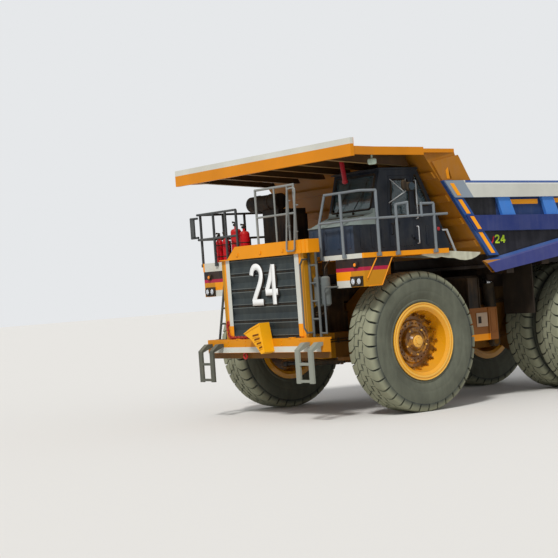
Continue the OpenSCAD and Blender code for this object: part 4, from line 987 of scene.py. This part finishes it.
# %% Rounded blocks
def pillow(centre, half, power, rows=14, columns=28, crown=0.0):
    """A rounded block: at latitude v and longitude u the point is half * (C(v) C(u), C(v) S(u), S(v)), where C and S
    are cosine and sine raised to the power with their sign kept. The crown lifts the middle of its top."""
    v, u = np.linspace(-0.47, 0.47, rows)[:, None] * math.pi, circle(columns)[None]
    bow = lambda w: np.sign(w) * np.abs(w) ** power
    level = bow(np.cos(v))
    points = np.stack([level * bow(np.cos(u)), level * bow(np.sin(u)), bow(np.sin(v)) + 0 * u], -1)
    points[..., 2] += crown * (1 - points[..., 0] ** 2) * (1 - points[..., 1] ** 2)
    return points.reshape(-1, 3) * np.array(half, float) + np.array(centre, float), capped(rows, columns)


def upright(x, corners):
    """Corners given as (y, height) stand up in the plane at x."""
    return [(x, y, z) for y, z in corners]


# %% [markdown]
# The cab is a folded sheet box. What makes it read as a cab is its trim: black gaskets round the panes, a roof cap
# with a rolled edge, wipers, grab bars behind the door, the door's handle and a mirror on three arms. It
# rides on the door, so it swings out with it.

# %% Cab trim
def cab_front(z):
    """The windscreen's slope: y = -0.87 + 0.2805 (z - 3.85)."""
    return -0.87 + 0.2805 * (z - 3.85)


painted("window_rubber", "#111214", dust=0.12, chips=0.0, roughness=0.7)
painted("mirror_silver", "#A9AEB0", dust=0.10, chips=0.1, roughness=0.25, shine=0.5)
screen = [(x, cab_front(z) - 0.004, z) for x, z in ((1.02, 3.92), (2.21, 3.92), (2.21, 4.58), (1.02, 4.58))]
quarter = [(0.200, 3.950), (0.540, 3.950), (0.250, 4.540), (0.200, 4.540)]
far_side = [(-0.700, 3.950), (0.540, 3.950), (0.250, 4.540), (-0.560, 4.540)]
wipers = []
for foot, head in ((1.22, 1.46), (1.72, 1.98)):
    arm = [(x, cab_front(z) - 0.035, z) for x, z in ((foot, 3.87), (foot + 0.03, 3.95), (head, 4.28))]
    blade = [(head + k, cab_front(z) - 0.024, z) for k, z in ((-0.06, 4.06), (0.0, 4.28), (0.05, 4.50))]
    pivot = [(0, 0.0), (0, 0.024), (0.03, 0.02), (0.03, 0.0)]
    wipers += [tube(arm, 0.009, 6), tube(blade, 0.007, 6), lathe(pivot, (foot, cab_front(3.87), 3.87), 1, 12, -1.0)]
piece("cab_gaskets", gather(hoop(screen, 0.020), hoop(upright(2.301, quarter), 0.016),
                            hoop(upright(0.929, far_side), 0.016), *wipers),
      "window_rubber", "chassis")
door_pane = [(-0.420, 3.780), (0.040, 3.780), (0.040, 4.460), (-0.370, 4.460), (-0.420, 3.900)]
handle = [(2.300, -0.43, 3.62), (2.345, -0.43, 3.62), (2.345, -0.43, 3.42), (2.300, -0.43, 3.42)]
door_parts = [hoop(upright(2.301, door_pane), 0.014, bend=0.06), tube(rounded(handle, 0.02), 0.010, 8),
              box((2.300, 2.318), (-0.36, -0.24), (3.60, 3.66))]
piece("door_fittings", gather(*door_parts), "window_rubber", "cab_door")
arms = [tube([(2.300, -0.40, 4.47), (2.55, -0.27, 4.20), (2.59, -0.22, 4.24)], 0.010, 8),
        tube([(2.300, -0.46, 4.02), (2.55, -0.27, 4.20)], 0.010, 8),
        tube([(2.300, -0.02, 4.47), (2.57, -0.20, 4.30)], 0.008, 8)]
piece("door_mirror_arms", gather(*arms), "mirror_silver", "cab_door")
piece("door_mirror", gather(pillow((2.60, -0.17, 4.295), (0.045, 0.105, 0.085), 0.5),
                            pillow((2.585, -0.30, 4.330), (0.035, 0.060, 0.095), 0.6)),
      "window_rubber", "cab_door")
round_glass = lathe([(0.0, 0.0), (0.0, 0.074), (0.014, 0.078), (0.020, 0.070), (0.016, 0.062), (0.024, 0.0)],
                    (2.645, -0.165, 4.30), 0, 32)
piece("door_mirror_glass", round_glass, "mirror_dark_reflection", "cab_door")
cap = box((0.915, 2.315), (-0.665, 0.31), (4.645, 4.697))
skirt = slab([(1.00, -0.80), (2.23, -0.80), (2.26, -0.665), (0.97, -0.665)], 4.648, 4.672, 2)
grab = [tube(rounded([(2.300, 0.20, z0), (2.350, 0.20, z0), (2.350, 0.20, z1), (2.300, 0.20, z1)], 0.03), 0.012, 8)
        for z0, z1 in ((3.70, 4.44), (3.22, 3.55))]
piece("cab_roof_cap", gather(cap, skirt), "cab_enamel", "chassis", bevel=0.014)
piece("cab_grab_bars", gather(*grab), "mirror_silver", "chassis")

# %% [markdown]
# The nose of the cab has two long slotted vents under the windscreen and pressed ribs that stiffen its sheets. The
# vents are rows of thin dark bars, and each rib is a shallow box with a worn edge.

# %% Cab vents and pressed ribs
def nose_top(y):
    """The nose's top sheet rises from z = 3.64 at y = -1.38 to 3.85 at -0.87."""
    return 3.64 + (y + 1.38) * 0.21 / 0.51


def on_nose(x0, x1, y0, y1, lift):
    """A thin plate on the nose's top sheet, between two widths and two lengths."""
    return slab([(y0, nose_top(y0)), (y1, nose_top(y1)), (y1, nose_top(y1) + lift), (y0, nose_top(y0) + lift)],
                x0, x1, 0)


vents = [on_nose(x, x + 0.50, y, y + 0.045, 0.004) for x in (1.05, 1.66) for y in (-1.22, -1.12, -1.00)]
piece("nose_vents", gather(*vents), "window_rubber", "chassis")
ribs = [*[box((x, x + 0.06), (-1.392, -1.379), (3.20, 3.58)) for x in (1.02, 1.42, 1.82, 2.16)],
        *[box((2.299, 2.311), (y, y + 0.06), (3.18, 3.56)) for y in (-1.22, -0.95, -0.70, 0.42, 0.66)],
        box((0.93, 2.30), (-1.40, -1.375), (3.63, 3.655))]
piece("cab_pressed_ribs", gather(*ribs), "cab_enamel", "chassis", bevel=0.005)

# %% [markdown]
# The driver sits on a sprung seat: foam under vinyl, which crowns in the middle and is drawn in along its sewn
# edge. A cushion like that is a rounded block with a raised middle, and its piping is a thin loop round its widest
# line. The stand is a bellows of folded rubber, and the steering wheel is a loop on three spokes.

# %% Driver's seat and wheel
SEAT_X = 1.615
COLUMN_WAY = np.array([0.0, 0.5, 0.866])
ACROSS_WAY, DOWN_WAY = np.array([1.0, 0, 0]), np.array([0, 0.866, -0.5])
WHEEL_HUB = np.array([SEAT_X, -0.555, 3.745])


def cushion(centre, half, crown, axis):
    """A rounded block with a crown on the side that faces the driver, and piping round its edge. Axis 1 stands the
    cushion up as a backrest."""
    corners = [(a * half[0], b * half[1], -0.2 * half[2]) for a, b in ((-1, -1), (1, -1), (1, 1), (-1, 1))]
    piping = hoop(corners, 0.007, bend=0.9 * min(half[:2]), sides=6, steps=9)
    points, faces = gather(pillow((0, 0, 0), half, 0.45, 20, 40, crown), piping)
    if axis == 1:
        points = np.stack([points[:, 0], -points[:, 2], points[:, 1]], 1)
    return points + np.array(centre, float), faces


def on_wheel(turn, reach):
    """A point in the steering wheel's plane."""
    return WHEEL_HUB + reach * (np.cos(turn) * ACROSS_WAY + np.sin(turn) * DOWN_WAY)


for name, centre, half, crown, axis, fill in (
        ("seat_cushion", (SEAT_X, -0.13, 3.555), (0.25, 0.25, 0.06), 0.25, 2, 0.8),
        ("seat_backrest", (SEAT_X, 0.085, 3.89), (0.235, 0.26, 0.05), 0.3, 1, 0.8),
        ("seat_headrest", (SEAT_X, 0.09, 4.225), (0.13, 0.065, 0.04), 0.3, 1, 0.9)):
    made = piece(name, cushion(centre, half, crown, axis), "seat_vinyl", "chassis", sharp=80)
    if name == "seat_cushion":
        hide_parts("cab_seat")
bellows = [(-0.155, 0.0), *[(-0.155 + 0.03 * k, 0.19 if k % 2 else 0.165) for k in range(12)], (0.175, 0.0)]
rim = hoop(on_wheel(circle(32)[:, None], 0.185), 0.014, bend=0.01, steps=2, side_way=(0.02, 0.5, 0.866))
foot = WHEEL_HUB - 0.03 * COLUMN_WAY
stand = [lathe(bellows, (SEAT_X, -0.13, 3.33), 2, 24),
         *[box((SEAT_X - 0.21, SEAT_X + 0.21), (-0.34, 0.06), z) for z in ((3.141, 3.176), (3.495, 3.515))],
         tube([(SEAT_X, -0.80, 3.142), foot], 0.032, 12), rim,
         *[tube([foot, on_wheel(w, 0.182)], 0.009, 6) for w in (0.4, 2.7, 4.71)],
         *[tube([(SEAT_X + k, 0.09, 4.10), (SEAT_X + k, 0.09, 4.21)], 0.007, 6) for k in (-0.07, 0.07)]]
piece("seat_stand_and_wheel", gather(*stand), "black_plastic", "chassis")
painted("dashboard_plastic", "#B9CCBC", dust=0.2, chips=0.0, roughness=0.6, dust_card="#D2D8C6")
dash = slab([(-0.80, 3.70), (-0.792, 3.90), (-0.760, 4.035), (-0.66, 4.045), (-0.60, 4.00), (-0.60, 3.93),
             (-0.765, 3.90), (-0.775, 3.70)], 1.02, 2.21, 0)
post = slab([(-0.775, 3.96), (-0.700, 4.24), (-0.665, 4.24), (-0.740, 3.96)], 1.03, 1.10, 0)
cowl = pillow((SEAT_X, -0.685, 4.055), (0.21, 0.05, 0.045), 0.5)
piece("dashboard", gather(dash, post, cowl), "dashboard_plastic", "chassis", bevel=0.006)

# %% [markdown]
# The hood band is bent from one sheet, so its right end shows folded seams. A boarding rail stands in front of it
# as one closed loop of tube, clamped to the rail behind.

# %% Hood seams, latches and boarding rail
RAIL_Y = -1.995
seams = [*[box((x, x + 0.022), (-1.970, -1.959), (3.184, 3.436)) for x in (1.405, 1.535)],
         *[box((x, x + 0.05), (-1.978, -1.959), (3.24, 3.30)) for x in (-0.75, 0.05, 0.80)]]
piece("hood_seams", gather(*seams), "yellow_enamel", "chassis", bevel=0.003)
boarding = hoop([(x, RAIL_Y, z) for x, z in ((1.15, 4.43), (1.40, 4.43), (1.26, 3.24), (1.00, 3.24))], 0.017, bend=0.06)
clips = [*[tube([(x, RAIL_Y, z), (x + 0.02, -1.925, z)], 0.011, 6)
           for x, z in ((1.06, 3.72), (1.12, 4.20), (1.30, 3.60), (1.36, 4.10))],
         *[tube([(x, RAIL_Y, 3.24), (x, -1.958, 3.24)], 0.012, 6) for x in (1.05, 1.21)]]
piece("boarding_rail", gather(boarding, *clips), "tube_enamel", "chassis")

# %% [markdown]
# Under the canopy each rib ends in a flange, which catches the light as a thin pale line. A red beacon tube and a
# work lamp hang between the ribs. All of them are welded to the canopy and lift with the body.

# %% Canopy flanges, beacon and work lamp
# The flanges' card, paler than the canopy's underside, is a painted highlight
painted("flange_enamel", "#7E6238", dust=0.45, chips=0.4, dust_card="#A08A66")
flange = [(-1.79, 4.8595), (0.0, 4.7303), (0.10, 4.7303), (0.10, 4.722), (0.0, 4.722), (-1.79, 4.851)]
piece("canopy_flanges", both(gather(*[slab(flange, x - 0.05, x + 0.05, 0) for x in (0.44, 1.32, 2.20)])),
      "flange_enamel", "dump_bed", bevel=0.002)
painted("beacon_red", "#A81226", dust=0.08, chips=0.1, roughness=0.35, shine=0.4)
beacon = tube(rounded([(1.62, -1.0, 4.925), (1.64, -1.0, 4.80), (1.69, -1.0, 4.50)], 0.1), 0.045, 14)
tip = pillow((1.69, -1.0, 4.495), (0.052, 0.052, 0.05), 0.8)
piece("beacon_tube", gather(beacon, tip), "beacon_red", "dump_bed")
work_lamp = [pillow((2.54, -1.0, 4.79), (0.085, 0.06, 0.06), 0.5),
             tube([(2.54, -1.0, 4.84), (2.54, -1.0, 4.925)], 0.018)]
piece("work_lamp", gather(*work_lamp), "dashboard_plastic", "dump_bed")
slash = slab([(0.68, 4.585), (0.735, 4.64), (0.775, 4.42), (0.70, 4.42)], 2.699, 2.706, 0)
piece("gusset_marks", both(slash), "yellow_enamel", "dump_bed", bevel=0.002)

# %% [markdown]
# The wheel chock is one moulded wedge, hollowed into pockets with ribs between them. The pockets are dark plates
# and the ribs stand proud of them. A red tow chain lies along the bumper: every second link is turned on its side.

# %% Chock ribs and tow chain
CHOCK_FACE = -2.230
LINK_LONG, LINK_WIDE, LINK_RADIUS = 0.085, 0.055, 0.010


def on_chock(outline, proud):
    """A plate on the chock's face; outline is in x and z."""
    return slab(outline, CHOCK_FACE - proud, CHOCK_FACE + 0.001, 1)


def chain(path):
    """Links along the path at every 0.72 of a link's length, each second one turned a quarter about it."""
    links = []
    for k, here in enumerate(np.arange(LINK_LONG / 2, run_of(path)[-1] - LINK_LONG / 2, 0.72 * LINK_LONG)):
        mid = at_lengths(path, here)
        ahead = unit(at_lengths(path, here + 0.01) - mid)
        side = unit(np.cross(ahead, (0, -1, 0.2) if k % 2 else (0, 0.2, 1)))
        corners = [mid + a * LINK_LONG / 2 * ahead + b * LINK_WIDE / 2 * side
                   for a, b in ((-1, -1), (1, -1), (1, 1), (-1, 1))]
        links.append(hoop(corners, LINK_RADIUS, bend=0.45 * LINK_WIDE, sides=6, steps=4))
    return gather(*links)


pockets, bars = [], []
for (x0, z0), (x1, z1) in (((0.000, 1.640), (0.205, 1.665)), ((0.055, 1.560), (0.235, 1.590)),
                           ((0.125, 1.480), (0.275, 1.508)), ((0.195, 1.400), (0.300, 1.425))):
    pockets.append(on_chock([(x0, z0), (x1, z1), (x1, z1 + 0.036), (x0, z0 + 0.036)], 0.003))
    bars.append(on_chock([(x0 - 0.01, z0 - 0.022), (x1 + 0.01, z1 - 0.022), (x1 + 0.01, z1 - 0.004),
                          (x0 - 0.01, z0 - 0.004)], 0.014))
bars.append(on_chock([(-0.28, 1.715), (-0.085, 1.785), (0.235, 1.880), (0.232, 1.858), (-0.08, 1.762),
                      (-0.27, 1.695)], 0.012))
piece("chock_pockets", gather(*pockets), "chock_shadow", "chassis", bevel=0.001)
piece("chock_ribs", gather(*bars), "chock_plastic", "chassis", bevel=0.003)
painted("chain_red", "#A5141E", dust=0.15, chips=0.3, roughness=0.45)
laid = rounded([(-1.30, -1.945, 1.90), (-1.285, -1.93, 1.68), (-1.20, -1.94, 1.612), (-0.85, -1.95, 1.612),
                (-0.60, -1.96, 1.612), (-0.34, -2.02, 1.66)], 0.08)
eye = hoop([(-1.33, -1.91, 1.95), (-1.27, -1.91, 1.95), (-1.27, -1.91, 1.86), (-1.33, -1.91, 1.86)], 0.014)
piece("tow_chain", gather(chain(laid), eye), "chain_red", "chassis")

# %% [markdown]
# Extinguishers are steel bottles with a valve: a turned body, a squeeze lever over it and a gauge. Two clamp bands
# go round each bottle, with their bracket. All of them are placed from one short table.

# %% Extinguisher valves and clamps
BOTTLE_Y, BOTTLE_FOOT = -1.33, 3.18
VALVE = [(0.045, 0.0), (0.045, 0.03), (0.10, 0.03), (0.115, 0.02), (0.115, 0.0)]
GAUGE = [(0.028, 0.0), (0.028, 0.024), (0.048, 0.024), (0.048, 0.0)]
valves, bands = [], []
for x, reach, top in ((-2.28, 0.075, 3.66), (-2.03, 0.075, 3.66), (-1.64, 0.110, 3.85), (-1.34, 0.110, 3.78)):
    lever = [(x - 0.10, top + 0.115), (x + 0.03, top + 0.115), (x + 0.03, top + 0.135), (x - 0.10, top + 0.155)]
    valves += [lathe(VALVE, (x, BOTTLE_Y, top), 2, 16), slab(lever, BOTTLE_Y - 0.014, BOTTLE_Y + 0.014, 1),
               lathe(GAUGE, (x, BOTTLE_Y, top + 0.075), 1, 14, -1.0)]
    for level in (0.12, 0.36):
        ring = ring_at((x, BOTTLE_Y, BOTTLE_FOOT + level), reach + 0.003, 24, 2)
        bands.append(hoop(ring, 0.009, bend=0.004, sides=6, steps=2))
    bands.append(box((x - 0.03, x + 0.03), (BOTTLE_Y + reach, BOTTLE_Y + reach + 0.03), (3.182, 3.62)))
piece("extinguisher_valves", gather(*valves), "black_plastic", "chassis")
piece("extinguisher_clamps", gather(*bands), "black_plastic", "chassis")

# %% [markdown]
# The left side tank carries a blank sign plate, stiffening ribs and a frame at its rear end; the right one is
# the fuel tank, held by two straps, with its filler on top. Both have rows of bolts along their seams. The plates
# are thin boxes with a worn edge, as they are cut from sheet.

# %% Tank fittings
TANK_FACE, STRAP_WIDE = 1.850, 0.07
NECK = [(0.0, 0.0), (0.0, 0.075), (0.05, 0.075), (0.05, 0.092), (0.085, 0.092), (0.10, 0.07), (0.10, 0.0)]


def on_tank(y0, y1, z0, z1, lift=0.012):
    """A thin plate on the left tank's outer face between two lengths and two heights."""
    return box((TANK_FACE - 0.001, TANK_FACE + lift), (y0, y1), (z0, z1))


plates = [on_tank(1.99, 2.29, 1.48, 1.76, 0.014), on_tank(2.315, 2.350, 1.205, 1.855, 0.030),
          on_tank(1.805, 1.830, 1.205, 2.475, 0.020), on_tank(2.095, 2.118, 1.862, 2.475, 0.020),
          on_tank(2.38, 2.57, 1.81, 1.85), on_tank(2.38, 2.57, 1.36, 1.385), on_tank(2.38, 2.405, 1.385, 1.81),
          on_tank(2.545, 2.57, 1.385, 1.81)]
straps = [strap for y in (2.02, 2.66) for strap in (across(on_tank(y, y + STRAP_WIDE, 0.995, 2.035, 0.010)),
                                                    box((-1.86, -0.72), (y, y + STRAP_WIDE), (2.028, 2.038)))]
bolts = [studs([(sign * (TANK_FACE + lift), y, z) for y in ys for z in zs], (sign, 0, 0), radius, height)
         for sign, lift, ys, zs, radius, height in (
             (1, 0.0, (1.87, 2.36), (1.25, 1.38, 1.51, 1.64, 1.77), 0.013, 0.012),
             (1, 0.012, (2.01, 2.27), (1.50, 1.74), 0.009, 0.008),
             (-1, 0.0, (1.84, 2.91), (1.1, 1.3, 1.5, 1.7, 1.9), 0.013, 0.012))]
piece("tank_fittings", gather(*plates, *straps, lathe(NECK, (-1.58, 2.36, 2.03), 2, 24), *bolts), "tank_enamel",
      "chassis", bevel=0.002)

# %% [markdown]
# A raised bar and a rolled edge stiffen each fender panel's side plate, and a strut holds the cab's rear foot to the
# sheet behind the deck. Bars like these are bent from round stock, so each is a ring carried along a path.

# %% Fender bars, cab strut and marker lamp
bars = [tube([(2.704, -1.194, 2.985), (2.704, -1.440, 2.62), (2.700, -1.45, 2.574)], 0.013, 8),
        tube([(2.702, -0.815, 2.985), (2.702, -1.098, 2.480), (2.702, -1.42, 2.476)], 0.011, 8)]
piece("fender_bars", both(gather(*bars)), "yellow_enamel", "chassis")
strut = [slab([(0.930, 3.475), (0.975, 3.475), (1.185, 3.000), (1.140, 3.000)], 2.286, 2.312, 0),
         slab([(0.850, 3.440), (0.975, 3.440), (0.975, 3.475), (0.830, 3.475)], 2.280, 2.306, 0),
         box((2.24, 2.36), (1.10, 1.23), (2.985, 3.006))]
piece("cab_strut", gather(*strut), "mirror_silver", "chassis", bevel=0.003)
piece("cab_marker_lamp", pillow((2.304, 0.741, 3.483), (0.016, 0.036, 0.036), 0.6), "beacon_red", "chassis")

# %% [markdown]
# Dark joints between the louvres are gaps in the real grille, and the folded crests catch the light. Thin strips
# stand for both. The bumper gets its bolts, collars round the tow pin bores, a red tow eye under it and the bars of
# its step plates.

# %% Grille joints and bumper fittings
GRILLE_FOOT, GRILLE_TOP, BANDS = 1.607, 3.180, 5
GRILLE_WIDE = (-1.105, 1.105)


def band(i):
    """The height at which the louvre number i starts; a fraction is a share of its band."""
    return GRILLE_FOOT + i * (GRILLE_TOP - GRILLE_FOOT) / BANDS


gaps = [box(GRILLE_WIDE, (-1.8925, -1.874), (band(i) - 0.014, band(i) + 0.014)) for i in range(1, BANDS)]
piece("grille_gaps", gather(*gaps), "window_rubber", "chassis")
crests = [box(GRILLE_WIDE, (-1.9012, -1.897), (band(i + share) - 0.005, band(i + share) + 0.005))
          for i in range(BANDS) for share in (0.12, 0.90)]
piece("grille_crests", gather(*crests), "pale_tube_enamel", "chassis")
bumper_bolts = studs([(x, -1.990, z) for x in (0.62, 1.22) for z in (1.46, 1.545)], (0, -1, 0), 0.014, 0.012)
collar = lathe([(0.0, 0.047), (0.0, 0.078), (0.010, 0.078), (0.014, 0.072), (0.014, 0.047)],
               (0.9, -1.930, 1.581), 2, 32)
piece("bumper_fittings", both(gather(bumper_bolts, collar)), "yellow_enamel", "chassis")
treads = [box((x, x + 0.012), (-1.846, -1.780), (1.5795, 1.5855)) for x in np.arange(1.45, 1.915, 0.030)]
piece("bumper_treads", both(gather(*treads)), "cast_iron", "chassis")
eye = hoop(ring_at((-0.73, -1.930, 1.245), 0.058, 24, 1), 0.017, bend=0.006, steps=2)
piece("red_tow_eye", gather(eye, box((-0.765, -0.695), (-1.955, -1.905), (1.285, 1.313))), "chain_red", "chassis")

# %% [markdown]
# Rigid pipes join the air bottles to the hood's column and run up to the deck. Along the frame run two hydraulic
# lines to the hoists. Each has clips, which are small blocks, at a spacing of a quarter to half a metre.

# %% Air and hydraulic pipes
def clips_on(path, every, half):
    """Small blocks on a path at equal steps of its length."""
    mids = at_lengths(path, np.arange(every / 2, run_of(path)[-1], every))
    return [box(*zip(mid - half, mid + half)) for mid in mids]


air_lines = [rounded([(1.52, -1.68, 2.16), (1.52, -1.68, 2.06), (1.395, -1.69, 2.03)], 0.05),
             rounded([(1.74, -1.68, 2.16), (1.74, -1.68, 2.08), (1.60, -1.70, 2.00), (1.395, -1.70, 1.99)], 0.07),
             rounded([(1.52, -1.68, 2.71), (1.52, -1.68, 2.82), (1.46, -1.66, 2.88), (1.44, -1.62, 3.005),
                      (1.44, -1.49, 3.02)], 0.05),
             rounded([(1.74, -1.68, 2.71), (1.74, -1.68, 2.86), (1.68, -1.60, 2.92), (1.68, -1.48, 3.02)], 0.06)]
drops = [rounded([(1.425, y, 3.02), (1.425, y, 2.38 - low), (1.22, -1.57, 2.30 - low), (1.15, -1.66, 2.30 - low)], 0.08)
         for y, low in ((-1.47, 0.0), (-1.43, 0.07), (-1.39, 0.14))]
ferrules = [lathe([(0.0, 0.0), (0.0, 0.026), (0.03, 0.026), (0.03, 0.0)], (x, -1.68, z), 2, 12)
            for x in (1.52, 1.74) for z in (2.125, 2.712)]
drop_clips = clips_on([(1.425, -1.43, 2.45), (1.425, -1.43, 2.98)], 0.26, np.array([0.022, 0.062, 0.014]))
piece("air_lines", gather(*[tube(path, 0.011, 8) for path in air_lines], *[tube(path, 0.015, 8) for path in drops],
                          *ferrules, *drop_clips), "black_plastic", "chassis")
hoist_lines = [rounded([(0.69, -1.0, z), (0.711, -0.95, z), (0.711, 1.81, z)], 0.03) for z in (1.42, 1.47)]
rail_lines = [rounded([(0.711, 2.57, z), (0.711, 3.60, z), (0.711, 4.05, z + 0.10), (0.711, 5.15, z + 0.10),
                       (0.69, 5.20, z + 0.10)], 0.15) for z in (1.90, 1.95)]
line_clips = [clip for y0, y1, z in ((-0.9, 1.8, 1.445), (2.7, 3.6, 1.925), (4.1, 5.1, 2.025))
              for clip in clips_on([(0.706, y0, z), (0.706, y1, z)], 0.45, np.array([0.017, 0.02, 0.05]))]
piece("hoist_lines", both(gather(*[tube(path, 0.010, 8) for path in hoist_lines + rail_lines], *line_clips)),
      "black_plastic", "chassis")

# %% [markdown]
# Inside, the body has a liner: thick wear plates welded over the floor with gaps between them, and bars across the
# front wall. They take the rock's blows. Under the body, rock ejectors hang between the twin tyres, on their pins,
# and knock out stones. All of them lift with the body.

# %% Body liner and rock ejectors
def floor_top(y):
    """The floor's upper face: from y 1.74 to 5.0 it rises by 0.1319 of the way, and then by 0.2039 to the tail."""
    return 2.72 + (y - 1.74) * FLOOR_RISE if y < 5.0 else 3.15 + (y - 5.0) * 0.2039


liner = []
for y0, y1 in ((1.95, 2.90), (2.94, 3.92), (3.96, 4.97), (5.03, 5.98), (6.02, 6.98), (7.02, 8.00)):
    low0, low1 = floor_top(y0) - 0.002, floor_top(y1) - 0.002
    for x0, x1 in ((-2.52, -1.27), (-1.23, -0.02), (0.02, 1.23), (1.27, 2.52)):
        liner.append(slab([(y0, low0), (y1, low1), (y1, low1 + 0.016), (y0, low0 + 0.016)], x0, x1, 0))
for z in np.arange(3.10, 4.80, 0.28):
    corners = [(0.060, 0.0), (0.086, 0.018), (0.042, 0.078), (0.016, 0.060)]
    liner.append(slab([(slope_y(z) + back, z + up) for back, up in corners], -2.50, 2.50, 0))
painted("scoured_steel", "#84725E", dust=0.35, chips=0.6, roughness=0.38, shine=0.4, dust_card="#A08A70")
piece("body_liner", gather(*liner), "scoured_steel", "dump_bed", bevel=0.003)
lug = [(4.86, 2.93), (5.04, 2.93), (5.00, 3.095), (4.90, 3.085)]
ejector = [tube([(1.750, 4.95, 3.02), (1.750, 4.95, 2.10)], 0.034, 12), slab(lug, 1.690, 1.712, 0),
           slab(lug, 1.788, 1.810, 0), tube([(1.680, 4.95, 2.97), (1.820, 4.95, 2.97)], 0.022, 10, (0.0, 0.1, 1.0)),
           pillow((1.750, 4.95, 2.10), (0.042, 0.055, 0.060), 0.6)]
piece("rock_ejectors", both(gather(*ejector)), "underbody_shade_enamel", "dump_bed")

# %% [markdown]
# At the back the axle housing is bolted together round its middle, and a cover closes it. The frame's end carries
# a steel box on each side with two small lamps, which are turned like the headlamps.

# %% Axle bolts and rear lamps
REAR_END = 6.250
LAMP_BACK, LAMP_Z, LAMP_XS = REAR_END + 0.05, 2.015, (0.21, 0.33)
COVER = [(0.440, 0.0), (0.440, 0.270), (0.575, 0.270), (0.585, 0.255), (0.600, 0.12), (0.606, 0.0)]
LAMP_RING = [(0.0, 0.030), (0.0, 0.040), (0.012, 0.038), (0.012, 0.030)]
LAMP_DOME = [(-0.002, 0.0), (-0.002, 0.031), (0.008, 0.027), (0.014, 0.014), (0.016, 0.0)]
axle_bolts = [studs(ring_of(sign * 0.245, WHEELBASE, 0.505, 20), (sign, 0, 0), 0.020, 0.038) for sign in (-1, 1)]
cover_bolts = studs(ring_at((0.0, WHEELBASE + 0.575, AXLE_Z), 0.235, 20, 1), (0, 1, 0), 0.014, 0.018)
piece("axle_cover", gather(lathe(COVER, (0.0, WHEELBASE, AXLE_Z), 1, 40), *axle_bolts, cover_bolts), "frame_enamel",
      "chassis")
lamp_box = box((0.15, 0.39), (REAR_END - 0.001, LAMP_BACK), (1.97, 2.06))
lamp_rings, lamp_domes = ([lathe(section, (x, LAMP_BACK, LAMP_Z), 1, 24) for x in LAMP_XS]
                          for section in (LAMP_RING, LAMP_DOME))
piece("rear_lamp_boxes", both(gather(lamp_box, *lamp_rings)), "black_plastic", "chassis")
piece("rear_lamp_lenses", both(gather(*lamp_domes)), "beacon_red", "chassis")

# %% [markdown]
# A dark folded sheet closes the engine bay to the rear, so that no daylight shows under the hood: it is painted shade,
# a dark sheet where the bay lies in shade. It stands on the frame's rails, with three pressed ribs and a row of bolts.
# Cutting one outline keeps the sheet in one piece.

# %% Engine bay shade sheet
SHADE_SHEET_Y = 0.560
wall = [(-0.70, 1.59), (-0.48, 1.59), (-0.48, 1.97), (0.48, 1.97), (0.48, 1.59), (0.70, 1.59), (0.70, 2.02),
        (1.10, 2.14), (1.10, 2.93), (-1.10, 2.93), (-1.10, 2.14), (-0.70, 2.02)]
ribs = [box((x - 0.03, x + 0.03), (SHADE_SHEET_Y - 0.018, SHADE_SHEET_Y + 0.001), (2.10, 2.88)) for x in (-0.62, 0.0, 0.62)]
bolts = studs([(x, SHADE_SHEET_Y, z) for x in (-1.05, -0.9, -0.3, 0.3, 0.9, 1.05) for z in (2.20, 2.88)], (0, -1, 0),
              0.012, 0.012)
piece("engine_bay_shade_sheet", gather(slab(wall, SHADE_SHEET_Y, SHADE_SHEET_Y + 0.012, 1), *ribs, bolts), "underbody_shade_enamel",
      "chassis", bevel=0.003)
